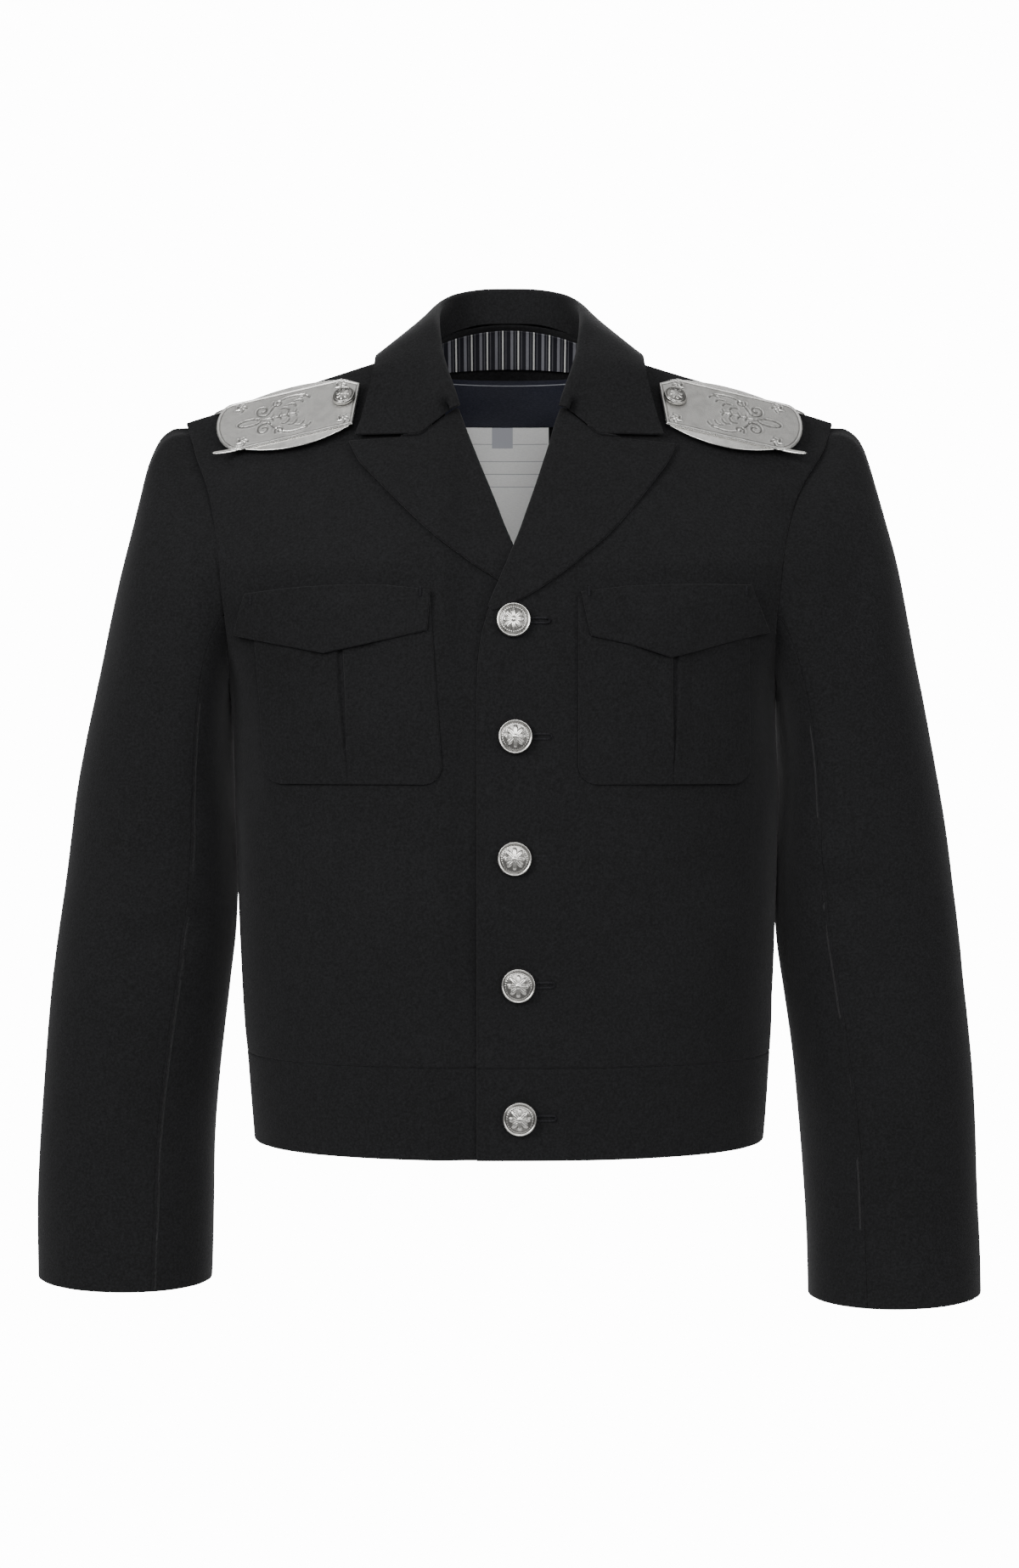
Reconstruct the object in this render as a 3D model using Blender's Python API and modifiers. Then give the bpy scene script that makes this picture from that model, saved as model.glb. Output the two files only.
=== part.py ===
"""Cropped wool jacket with metal epaulettes, hollow as if worn by a general figure.

Metres, +Z up, the jacket faces -Y. "right" and "left" in names are the viewer's. The origin is at the
base of the neck, level with the shoulders' high points, where a wearer holds the jacket up.
"""

import math

import bmesh
import bpy
import numpy as np
from mathutils import Matrix, Vector

# Cloth
WALL = 0.0020  # double wool cloth
PATCH_WALL = 0.0016  # pockets and flaps
LABEL_WALL = 0.0010
LABEL_GAP = 0.0018
SEAM = 0.0003  # gap at every seam
HALF_SEAM = 0.00025
SLEEVE_HALF_SEAM = 0.00035

# Heights of the torso
HEM_Z = -0.561
WAIST_Z = -0.497
ARMPIT_Z = -0.238
YOKE_Z = -0.150  # above it the cloth falls back to the shoulder crest
CREST_NECK_Z = 0.009
CREST_DROP = 0.050
NECK_X = 0.078
SHOULDER_X = 0.236
CREST_FLAT = 0.004
BACK_NECK_RISE = 0.034
BACK_NECK_DEPTH = 0.075

SECTION_POWER = 2.4
FRONT_FALL_POWER = 1.15
BACK_FALL_POWER = 1.5

# height, half width, front depth, back depth of the torso's sections
TORSO = (
    (-0.562, 0.1855, 0.128, 0.112),
    (-0.497, 0.1908, 0.130, 0.114),
    (-0.410, 0.1950, 0.132, 0.117),
    (-0.343, 0.1972, 0.131, 0.119),
    (-0.300, 0.1985, 0.130, 0.120),
    (-0.250, 0.1990, 0.1285, 0.1217),
    (-0.238, 0.1993, 0.128, 0.122),
    (-0.222, 0.2045, 0.127, 0.122),
    (-0.205, 0.2150, 0.126, 0.122),
    (-0.174, 0.2350, 0.122, 0.121),
    (-0.150, 0.2450, 0.118, 0.120),
    (-0.060, 0.2600, 0.118, 0.120),
    (0.060, 0.2600, 0.118, 0.120),
)

# height, armhole edge of the front, armhole edge of the back
ARMHOLE = (
    (-0.238, 0.1993, 0.1993),
    (-0.228, 0.1962, 0.1992),
    (-0.205, 0.1945, 0.2005),
    (-0.174, 0.1960, 0.2035),
    (-0.150, 0.1988, 0.2060),
    (-0.121, 0.2040, 0.2100),
    (-0.089, 0.2135, 0.2170),
    (-0.065, 0.2263, 0.2285),
    (-0.041, 0.2360, 0.2360),
)

# how far the panels hang over to the viewer's left, by height, and the distances from the centre
# over which this fades in and out
LEAN = (
    (-0.600, 0.0000),
    (-0.430, 0.0012),
    (-0.343, 0.0020),
    (-0.304, 0.0026),
    (-0.256, 0.0040),
    (-0.222, 0.0055),
    (-0.177, 0.0066),
    (-0.139, 0.0062),
    (-0.100, 0.0045),
    (-0.060, 0.0000),
)
LEAN_FROM = 0.100
LEAN_FULL = 0.180
LEAN_FADES = 0.225
LEAN_ENDS = 0.285

# height, inner edge of the upper front panel under the collar and lapel, and of the overlapping right front
NECK_EDGE = (
    (-0.240, -0.0225, -0.0225),
    (-0.215, -0.0205, -0.0205),
    (-0.203, -0.0170, -0.0170),
    (-0.189, -0.0110, -0.0110),
    (-0.177, -0.0060, -0.0060),
    (-0.166, -0.0015, -0.0015),
    (-0.145, 0.0065, 0.0065),
    (-0.127, 0.0128, 0.0120),
    (-0.096, 0.0234, 0.0225),
    (-0.064, 0.0345, 0.0315),
    (-0.042, 0.0445, 0.0410),
    (-0.026, 0.0530, 0.0500),
    (-0.008, 0.0610, 0.0610),
    (0.002, 0.0700, 0.0700),
    (0.009, 0.0780, 0.0780),
)
UNDER_EDGE_X = 0.0225  # how far the left front reaches past the centre, under the right one

TRUNK_ROWS = (
    -0.460, -0.420, -0.380, -0.340, -0.305, -0.275, -0.252, -0.238,
    -0.230, -0.219, -0.205, -0.190, -0.175, -0.160, YOKE_Z,
)
YOKE_STEPS = 8
FRONT_COLUMNS = 13
BACK_NECK_COLUMNS = 6
BACK_SIDE_COLUMNS = 9

# outer x, outer z, inner x, inner z, half depth, centre y, roundness of the outer and of the inner half
# of a sleeve's rings, from armhole to cuff
SLEEVE = (
    (0.2365, -0.0420, 0.2005, -0.2380, 0.0790, 0.0000, 2.2, 3.2),
    (0.2475, -0.0440, 0.2010, -0.2430, 0.0800, 0.0000, 2.2, 3.2),
    (0.2580, -0.0560, 0.2012, -0.2510, 0.0815, 0.0000, 2.2, 3.2),
    (0.2690, -0.0890, 0.2012, -0.2630, 0.0820, 0.0000, 2.2, 3.2),
    (0.2825, -0.1450, 0.2010, -0.2880, 0.0815, 0.0000, 2.2, 3.2),
    (0.2955, -0.2100, 0.2003, -0.3250, 0.0800, 0.0000, 2.2, 3.2),
    (0.3085, -0.2770, 0.1988, -0.3700, 0.0780, -0.0010, 2.2, 3.0),
    (0.3190, -0.3400, 0.1998, -0.4160, 0.0750, -0.0030, 2.2, 2.8),
    (0.3275, -0.4100, 0.2045, -0.4600, 0.0715, -0.0070, 2.2, 2.6),
    (0.3345, -0.4800, 0.2105, -0.5100, 0.0680, -0.0120, 2.1, 2.4),
    (0.3385, -0.5400, 0.2140, -0.5600, 0.0650, -0.0180, 2.1, 2.2),
    (0.3400, -0.6000, 0.2150, -0.6120, 0.0620, -0.0250, 2.0, 2.1),
    (0.3400, -0.6690, 0.2160, -0.6720, 0.0600, -0.0330, 2.0, 2.0),
)
SLEEVE_BLEND_RINGS = 5
ARMHOLE_POWER = 2.2
SLEEVE_SEAM_FRONT = math.radians(-115)
SLEEVE_SEAM_BACK = math.radians(118)
SEAM_TURN = math.radians(2.5)  # a narrow column along each seam keeps the two walls' edges parallel
UPPER_SLEEVE_COLUMNS = 16
UNDER_SLEEVE_COLUMNS = 10
HEAD_STEP_TOP = 0.0036  # the body's shoulder end stands this far proud of the sleeve head
HEAD_STEP_UNDER = 0.0006
LEFT_CUFF_LIFT = 0.012

# seam x, y, z; fold x, y, z; edge x, y, z of the collar, from centre back to the gorge
COLLAR = (
    (0.0000, 0.0750, 0.0440, 0.0000, 0.0830, 0.0705, 0.0000, 0.1030, 0.0220),
    (0.0250, 0.0705, 0.0420, 0.0200, 0.0800, 0.0695, 0.0290, 0.0995, 0.0205),
    (0.0500, 0.0570, 0.0360, 0.0390, 0.0660, 0.0640, 0.0570, 0.0850, 0.0175),
    (0.0690, 0.0340, 0.0255, 0.0505, 0.0430, 0.0545, 0.0790, 0.0520, 0.0135),
    (0.0770, 0.0080, 0.0140, 0.0540, 0.0160, 0.0430, 0.0900, 0.0140, 0.0110),
    (0.0730, -0.0130, 0.0070, 0.0530, -0.0080, 0.0285, 0.0955, -0.0160, 0.0060),
    (0.0640, -0.0290, -0.0020, 0.0500, -0.0270, 0.0090, 0.0975, -0.0370, -0.0060),
    (0.0540, -0.0410, -0.0140, 0.0455, -0.0420, -0.0080, 0.1010, -0.0500, -0.0220),
    (0.0455, -0.0500, -0.0280, 0.0400, -0.0530, -0.0240, 0.1050, -0.0620, -0.0430),
    (0.0410, -0.0560, -0.0350, 0.0365, -0.0590, -0.0340, 0.1095, -0.0740, -0.0640),
)
COLLAR_GORGE_KINK = (0.0628, -0.0612)
COLLAR_COLUMNS = 25
FOLD_RADIUS = 0.0033
LEAF_OUT = 0.0033  # a collar leaf's or lapel's face above the panel it lies on

# roll x, roll z, edge x, edge z of the lapels, from gorge to break point
LAPEL_RIGHT = (
    (0.0372, -0.0375, 0.1165, -0.0675),
    (0.0330, -0.0470, 0.1120, -0.0765),
    (0.0275, -0.0630, 0.1038, -0.0877),
    (0.0230, -0.0800, 0.0864, -0.1104),
    (0.0182, -0.0957, 0.0681, -0.1309),
    (0.0135, -0.1110, 0.0461, -0.1498),
    (0.0080, -0.1274, 0.0300, -0.1620),
    (0.0020, -0.1446, 0.0165, -0.1710),
    (-0.0035, -0.1600, 0.0050, -0.1735),
    (-0.0070, -0.1680, -0.0030, -0.1765),
)
LAPEL_LEFT = (
    (0.0385, -0.0370, 0.1130, -0.0665),
    (0.0330, -0.0470, 0.1060, -0.0760),
    (0.0265, -0.0630, 0.0950, -0.0880),
    (0.0222, -0.0795, 0.0760, -0.1080),
    (0.0180, -0.0930, 0.0570, -0.1265),
    (0.0135, -0.1080, 0.0395, -0.1410),
    (0.0085, -0.1220, 0.0235, -0.1520),
    (0.0045, -0.1330, 0.0135, -0.1570),
)
LAPEL_GORGE_KINK = (0.0628, -0.0632)
LAPEL_LEAF_COLUMNS = 8
LAPEL_RETURN = 0.0050
RETURN_GAP = 0.0011

# Pockets, by the viewer's right one
POCKET_INNER_X = 0.0450
POCKET_OUTER_X = 0.1720
# inner x at the top and bottom, outer x at the top and bottom of each pocket
POCKET_EDGES_RIGHT = (0.0470, 0.0470, 0.1735, 0.1706)
POCKET_EDGES_LEFT = (0.0545, 0.0455, 0.1720, 0.1684)
POCKET_TOP_Z = -0.174
POCKET_BOTTOM_Z = -0.3025
POCKET_CORNER = 0.014
POCKET_OUT = 0.0024
PLEAT_X = 0.1120
PLEAT_REACH = 0.014
PLEAT_SLIT = 0.0017
PLEAT_RISE = 0.0018
# top x, top z, bottom x, bottom z of the pocket flaps, from the inner to the outer end
FLAP_RIGHT = (
    (0.0489, -0.1707, 0.0553, -0.2010),
    (0.0800, -0.1668, 0.0825, -0.2065),
    (0.1080, -0.1653, 0.1096, -0.2150),
    (0.1410, -0.1645, 0.1475, -0.2055),
    (0.1730, -0.1640, 0.1865, -0.1952),
)
FLAP_LEFT = (
    (0.0541, -0.1695, 0.0560, -0.1972),
    (0.0850, -0.1660, 0.0900, -0.2045),
    (0.1180, -0.1655, 0.1244, -0.2116),
    (0.1470, -0.1670, 0.1545, -0.2050),
    (0.1762, -0.1700, 0.1850, -0.1975),
)
FLAP_COLUMNS = 13
FLAP_OUT = 0.0048
FLAP_BULGE = 0.0024

# name, x, z of the front buttons
BUTTONS = (
    ("button_1", 0.0028, -0.1900),
    ("button_2", 0.0040, -0.2695),
    ("button_3", 0.0035, -0.3530),
    ("button_4", 0.0060, -0.4395),
    ("button_5", 0.0070, -0.5310),
)
BUTTON_RADIUS = 0.0120
SMALL_BUTTON_RADIUS = 0.0087
# radius and height of a button's profile, as fractions of its radius, from the crown's centre down
BUTTON_PROFILE = (
    (0.00, 0.50), (0.45, 0.46), (0.80, 0.31), (0.90, 0.34), (0.97, 0.31),
    (1.00, 0.24), (0.96, 0.10), (0.80, 0.02), (0.00, 0.00),
)
BUTTON_SIDES = 16
BUTTON_GAP = 0.0004

# Things inside the neck
FACING_HALF_X = 0.0640
FACING_HEIGHT = 0.0290
FACING_SAG = 0.35  # how much of the neck's curve its lower edge follows
FACING_TOP_GAP = 0.0010
DARK_LABEL = (-0.056, 0.046, -0.0320, 0.0045)  # low x, high x, low z, high z
WHITE_LABEL = (-0.042, 0.031, -0.1350, -0.0330)

# Epaulettes: u runs out along the shoulder from the neck end, v down its front slope
PLATE_HALF_WIDTH = 0.0252
PLATE_END_FRONT = 0.041  # u where the rounded end meets the front edge
PLATE_END_BACK = 0.047
PLATE_END_BULGE = 0.0150
PLATE_NECK_FRONT = -0.041  # u of the neck end's front corner
PLATE_NECK_POINT = (-0.049, -0.0160)
PLATE_NECK_BACK = -0.036
PLATE_THICK = 0.0016
BASE_THICK = 0.0012
PLATE_SUNK = 0.0004  # how far the plate goes into its base
BASE_REACH = 0.0400
BASE_HALF_WIDTH = 0.0335
BASE_SAG = 0.0090
PRONG_WIDTH = 0.0050
PRONG_LENGTH = 0.022
EPAULETTE_X = 0.1526
EPAULETTE_DOWN = 0.0259
EPAULETTE_OUT = 0.0035
EPAULETTE_TURN = 0.1272  # radians its axis is turned up from the shoulder's slope
EPAULETTE_BUTTON_U = -0.0365
EPAULETTE_BUTTON_V = -0.0035


def smooth(table, column, at):
    """A column of a table between its rows, on cubic curves through them."""
    table = np.asarray(table, float)
    order = np.argsort(table[:, 0])
    keys = table[order, 0]
    values = table[order, column]
    slopes = np.gradient(values, keys)
    at = np.clip(np.asarray(at, float), keys[0], keys[-1])
    row = np.clip(np.searchsorted(keys, at) - 1, 0, len(keys) - 2)
    step = keys[row + 1] - keys[row]
    t = (at - keys[row]) / step
    rise = values[row + 1] - values[row]
    low = slopes[row] * step
    high = slopes[row + 1] * step
    return values[row] + t * low + t * t * (3 * rise - 2 * low - high) + t**3 * (low + high - 2 * rise)


def ease(t):
    t = np.clip(t, 0, 1)
    return t * t * (3 - 2 * t)


def leaned(points):
    """Points of the cloth moved over to the side it hangs to."""
    away = np.abs(points[..., 0])
    share = ease((away - LEAN_FROM) / (LEAN_FULL - LEAN_FROM))
    share = share * (1 - ease((away - LEAN_FADES) / (LEAN_ENDS - LEAN_FADES)))
    moved = np.array(points, float)
    moved[..., 0] -= smooth(LEAN, 1, points[..., 2]) * share
    return moved


def crest_z(x):
    """Height of the shoulder crest."""
    return CREST_NECK_Z - CREST_DROP * np.clip((np.abs(x) - NECK_X) / (SHOULDER_X - NECK_X), 0, 1.2)


def neck_round(x):
    """1 at the centre of the neck's ellipse, 0 from its side outwards."""
    return np.sqrt(np.clip(1 - (np.abs(x) / NECK_X) ** 2, 0, 1))


def section(x, z, column):
    """Depth of the superellipse through a height."""
    half_width = smooth(TORSO, 1, z)
    ratio = np.clip(np.abs(x) / half_width, 0, 1)
    return smooth(TORSO, column, z) * (1 - ratio**SECTION_POWER) ** (1 / SECTION_POWER)


def fall(h, power):
    return (1 - np.clip(h, 0, 1) ** power) ** (1 / power)


def under_drop(x, z, side):
    """How far the left front lies behind its own form, to pass under the right one."""
    if side > 0:
        return 0.0
    depth = 0.0032 + 0.0024 * ease((np.asarray(z) + 0.240) / 0.040)
    return depth * ease((x * side + 0.050) / 0.022)


def front_depth(x, z, side=1):
    """Distance of the front panels' face before the plane of the shoulders; x is the world's."""
    x = np.asarray(x, float)
    z = np.asarray(z, float)
    chest = section(x, np.minimum(z, YOKE_Z), 2)
    wide = section(x, np.maximum(z, YOKE_Z), 2)
    h = (z - YOKE_Z) / (crest_z(x) - YOKE_Z)
    yoke = CREST_FLAT + (wide - CREST_FLAT) * fall(h, FRONT_FALL_POWER)
    return np.where(z > YOKE_Z, yoke, chest) - under_drop(x * side, z, side)


def back_top(x):
    return crest_z(x) + BACK_NECK_RISE * neck_round(x) ** 1.5


def back_depth(x, z, side=1):
    """Distance of the back's face behind the plane of the shoulders."""
    x = np.asarray(x, float)
    z = np.asarray(z, float)
    chest = section(x, np.minimum(z, YOKE_Z), 3)
    wide = section(x, np.maximum(z, YOKE_Z), 3)
    top = CREST_FLAT + (BACK_NECK_DEPTH - CREST_FLAT) * neck_round(x)
    h = (z - YOKE_Z) / (back_top(x) - YOKE_Z)
    yoke = top + (wide - top) * fall(h, BACK_FALL_POWER)
    return np.where(z > YOKE_Z, yoke, chest)


def on_front(x, z, out=0.0, side=1):
    """Points on the front's face at world x and height z, moved out along its normal."""
    x = np.asarray(x, float)
    z = np.asarray(z, float)
    step = 0.0005
    dx = (front_depth(x + step, z, side) - front_depth(x - step, z, side)) / (2 * step)
    dz = (front_depth(x, z + step, side) - front_depth(x, z - step, side)) / (2 * step)
    normal = np.stack([-dx, -np.ones_like(dx), -dz], -1)
    normal /= np.linalg.norm(normal, axis=-1, keepdims=True)
    points = np.stack(np.broadcast_arrays(x, -front_depth(x, z, side), z), -1)
    return points + normal * np.asarray(out)[..., None]


def on_back(x, z, out=0.0):
    """Points on the back's face, moved out along its normal."""
    x = np.asarray(x, float)
    z = np.asarray(z, float)
    step = 0.0005
    dx = (back_depth(x + step, z) - back_depth(x - step, z)) / (2 * step)
    dz = (back_depth(x, z + step) - back_depth(x, z - step)) / (2 * step)
    normal = np.stack([-dx, np.ones_like(dx), -dz], -1)
    normal /= np.linalg.norm(normal, axis=-1, keepdims=True)
    points = np.stack(np.broadcast_arrays(x, back_depth(x, z), z), -1)
    return points + normal * np.asarray(out)[..., None]


def trim(grid, low_row=0.0, high_row=0.0, low_column=0.0, high_column=0.0):
    """The grid with its outer rows and columns drawn in by seam gaps."""
    grid = grid.copy()
    for edge, inner, gap in ((0, 1, low_row), (-1, -2, high_row)):
        away = grid[inner] - grid[edge]
        grid[edge] += away / np.linalg.norm(away, axis=-1, keepdims=True) * gap
    for edge, inner, gap in ((0, 1, low_column), (-1, -2, high_column)):
        away = grid[:, inner] - grid[:, edge]
        grid[:, edge] += away / np.linalg.norm(away, axis=-1, keepdims=True) * gap
    return grid


def spread(count, clustered):
    """Fractions from 0 to 1, drawn towards 1 by clustered."""
    t = np.linspace(0, 1, count)
    return (1 - clustered) * t + clustered * np.sin(t * math.pi / 2)


def row_heights():
    """Trunk rows as heights, and yoke rows as fractions of the way up to the crest."""
    angles = np.linspace(0, math.pi / 2, YOKE_STEPS + 1)[1:]
    return TRUNK_ROWS, np.sin(angles) ** (2 / 1.4)


def side_cluster(z):
    return float(1 - ease((z - ARMPIT_Z) / (YOKE_Z - ARMPIT_Z)))


def front_grid(side):
    """Rows from waist seam to shoulder seam, columns from front edge to side seam and armhole."""
    rows = []
    edge_column = 2 if side > 0 else 1
    heights, fractions = row_heights()

    def inner_edge(z):
        if side < 0 and z < YOKE_Z + 0.004:
            over = ease((YOKE_Z + 0.004 - z) / 0.030)
            return float(smooth(NECK_EDGE, 1, max(z, -0.146)) * (1 - over) - UNDER_EDGE_X * over)
        return float(smooth(NECK_EDGE, edge_column, z))

    for z in (WAIST_Z,) + heights:
        outer = smooth(TORSO, 1, z) if z <= ARMPIT_Z else smooth(ARMHOLE, 1, z)
        x = inner_edge(z) + (outer - inner_edge(z)) * spread(FRONT_COLUMNS, side_cluster(z))
        points = on_front(x * side, np.full_like(x, z), 0.0, side)
        if z <= ARMPIT_Z:
            points[-1] = (outer * side, 0.0, z)
        rows.append(points)
    for h in fractions:
        inner_z = YOKE_Z + (CREST_NECK_Z - YOKE_Z) * h
        outer = SHOULDER_X
        for _ in range(4):
            outer_z = YOKE_Z + (crest_z(outer) - YOKE_Z) * h
            outer = float(smooth(ARMHOLE, 1, outer_z))
        inner = inner_edge(inner_z)
        x = inner + (outer - inner) * spread(FRONT_COLUMNS, 0.0)
        z = YOKE_Z + (crest_z(x) - YOKE_Z) * h
        y = -front_depth(x * side, z, side)
        rows.append(np.stack([x * side, y, z], -1))
    crest = rows[-1].copy()
    crest[:, 1] = 0.0
    rows.append(crest)
    return np.array(rows)


def back_grid():
    """Rows from waist seam to shoulder and neck seams, columns from the wearer's right to left."""
    neck_share = NECK_X / SHOULDER_X
    turn = np.linspace(0, math.pi / 2, BACK_NECK_COLUMNS + 1)
    fractions = np.concatenate([
        np.sin(turn) * neck_share,
        np.linspace(neck_share, 1, BACK_SIDE_COLUMNS + 1)[1:],
    ])
    rows = []
    heights, steps = row_heights()
    for z in (WAIST_Z,) + heights:
        outer = smooth(TORSO, 1, z) if z <= ARMPIT_Z else smooth(ARMHOLE, 2, z)
        cluster = side_cluster(z)
        x = outer * ((1 - cluster) * fractions + cluster * np.sin(fractions * math.pi / 2))
        points = on_back(x, np.full_like(x, z))
        if z <= ARMPIT_Z:
            points[-1] = (outer, 0.0, z)
        rows.append(points)
    for h in steps:
        outer = SHOULDER_X
        for _ in range(4):
            outer_z = YOKE_Z + (crest_z(outer) - YOKE_Z) * h
            outer = float(smooth(ARMHOLE, 2, outer_z))
        x = outer * fractions
        z = YOKE_Z + (back_top(x) - YOKE_Z) * h
        rows.append(np.stack([x, back_depth(x, z), z], -1))
    crest = rows[-1].copy()
    crest[:, 1] = BACK_NECK_DEPTH * neck_round(crest[:, 0])
    inside_neck = crest[:, 0] < NECK_X - 0.001
    crest[inside_neck, 2] += 0.0008
    crest[inside_neck, 1] = rows[-1][inside_neck, 1] - 0.0002
    rows.append(crest)
    half = np.array(rows)
    other = half[:, :0:-1].copy()
    other[..., 0] *= -1
    return np.concatenate([other, half], axis=1)


def band_front_grid(side):
    inner = -UNDER_EDGE_X
    rows = []
    for z in np.linspace(HEM_Z, WAIST_Z, 5):
        outer = float(smooth(TORSO, 1, z))
        x = inner + (outer - inner) * spread(FRONT_COLUMNS, 1.0)
        points = on_front(x * side, np.full_like(x, z), 0.0, side)
        points[-1] = (outer * side, 0.0, z)
        rows.append(points)
    return np.array(rows)


def band_back_grid():
    rows = []
    half_count = 12
    for z in np.linspace(HEM_Z, WAIST_Z, 5):
        outer = float(smooth(TORSO, 1, z))
        x = outer * np.sin(np.linspace(0, math.pi / 2, half_count))
        points = on_back(x, np.full_like(x, z))
        points[-1] = (outer, 0.0, z)
        other = points[:0:-1].copy()
        other[:, 0] *= -1
        rows.append(np.concatenate([other, points]))
    return np.array(rows)


def signed_power(value, power):
    return np.sign(value) * np.abs(value) ** power


def sleeve_rings(angles, side, rows=SLEEVE):
    """Points of a sleeve's rings at angles from its outer line, negative to the front."""
    c = np.cos(angles)
    s = np.sin(angles)
    rings = []
    for outer_x, outer_z, inner_x, inner_z, depth, centre_y, outer_power, inner_power in rows:
        power = np.where(c > 0, outer_power, inner_power)
        across = signed_power(c, 2 / power)
        middle_x = (outer_x + inner_x) / 2
        middle_z = (outer_z + inner_z) / 2
        x = middle_x + (outer_x - inner_x) / 2 * across
        z = middle_z + (outer_z - inner_z) / 2 * across
        y = centre_y + depth * signed_power(s, 2 / power)
        rings.append(np.stack([x, y, z], -1))
    rings = np.array(rings)
    top = float(crest_z(SHOULDER_X))
    middle_z = (top + ARMPIT_Z) / 2
    z = middle_z + (top - ARMPIT_Z) / 2 * signed_power(c, 2 / ARMHOLE_POWER)
    front_x = smooth(ARMHOLE, 1, z)
    back_x = smooth(ARMHOLE, 2, z)
    x = np.where(s < 0, front_x, back_x)
    y = np.where(s < 0, -front_depth(front_x, z), back_depth(back_x, z))
    near_crest = np.clip((top - z) / 0.006, 0, 1)
    near_armpit = np.clip((z - ARMPIT_Z) / 0.004, 0, 1)
    y = y * near_crest * near_armpit
    head = np.stack([x, y, z], -1)
    inset = HEAD_STEP_UNDER + (HEAD_STEP_TOP - HEAD_STEP_UNDER) * ease((z + 0.130) / 0.070)
    away = np.stack([np.zeros_like(y), y, z - middle_z], -1)
    head -= away / np.linalg.norm(away, axis=-1, keepdims=True) * inset[:, None]
    head[:, 0] += SEAM + 0.0003
    miss = head - rings[0]
    for k in range(SLEEVE_BLEND_RINGS):
        rings[k] += miss * float(1 - ease(k / SLEEVE_BLEND_RINGS))
    if side < 0:
        below = np.clip((-0.250 - rings[..., 2]) / 0.430, 0, 1)
        rings[..., 2] += LEFT_CUFF_LIFT * below
    rings[..., 0] *= side
    return rings


def sleeve_grid(side, upper):
    start, end, count = SLEEVE_SEAM_FRONT, SLEEVE_SEAM_BACK, UPPER_SLEEVE_COLUMNS
    if not upper:
        start, end, count = SLEEVE_SEAM_BACK, SLEEVE_SEAM_FRONT + 2 * math.pi, UNDER_SLEEVE_COLUMNS
    angles = np.linspace(start, end, count)
    angles = np.concatenate([[start], [start + SEAM_TURN], angles[1:-1], [end - SEAM_TURN], [end]])
    grid = sleeve_rings(angles, side)
    return trim(grid, low_column=SLEEVE_HALF_SEAM, high_column=SLEEVE_HALF_SEAM)


def unit(vector):
    return vector / np.linalg.norm(vector, axis=-1, keepdims=True)


def folded_profile(seam, fold, edge, radius, stand_points, leaf_points, bulge):
    """One section of cloth from a seam up to a fold and down to an edge, as points of its face."""
    stand = unit(seam - fold)
    leaf = unit(edge - fold)
    inside = unit(stand + leaf)
    across = unit(leaf - stand)
    points = []
    start = fold + inside * radius - across * radius
    for t in np.linspace(0, 1, stand_points)[:-1]:
        points.append(seam + (start - seam) * t)
    for turn in np.linspace(-90, 90, 5):
        angle = math.radians(turn)
        points.append(fold + inside * radius * (1 - math.cos(angle)) + across * radius * math.sin(angle))
    end = points[-1]
    normal = -inside + across * float(np.dot(inside, leaf) / max(np.dot(across, leaf), 0.2))
    normal = unit(normal)
    for t in np.linspace(0, 1, leaf_points)[1:]:
        points.append(end + (edge - end) * t + normal * bulge * math.sin(math.pi * t))
    return np.array(points)


def collar_grid():
    """Rows along the section from neck seam to leaf edge, columns around the neck."""
    stations = np.asarray(COLLAR, float)
    keyed = np.concatenate([np.arange(len(stations))[:, None], stations], axis=1)
    half = (COLLAR_COLUMNS - 1) // 2
    places = np.linspace(0, len(stations) - 1, half + 1)
    columns = []
    for place in places:
        values = np.array([float(smooth(keyed, k + 1, place)) for k in range(9)])
        seam, fold, edge = values[:3], values[3:6], values[6:]
        profile = folded_profile(seam, fold, edge, FOLD_RADIUS, 4, 7, 0.0015)
        front = ease((place - 6.0) / 3.0)
        leaf = np.arange(len(profile)) >= 8
        if front > 0:
            x, z = profile[leaf, 0], profile[leaf, 2]
            lying = on_front(x, z, LEAF_OUT)
            share = (front * np.linspace(0, 1, leaf.sum()) ** 0.5)[:, None]
            profile[leaf] = profile[leaf] * (1 - share) + lying * share
        columns.append(profile)
    last = columns[-1]
    leaf = np.arange(8, len(last))
    kink = np.array(COLLAR_GORGE_KINK)
    start, end = last[8, [0, 2]], last[-1, [0, 2]]
    reach = np.linspace(0, 1, len(leaf))
    split = 0.42
    for k, t in zip(leaf, reach):
        x, z = start + (kink - start) * (t / split) if t < split else kink + (end - kink) * (t - split) / (1 - split)
        last[k] = on_front(np.array(x), np.array(z), LEAF_OUT + 0.0004)
    right = np.array(columns).transpose(1, 0, 2)
    left = right[:, :0:-1].copy()
    left[..., 0] *= -1
    return np.concatenate([left, right], axis=1)


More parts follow.
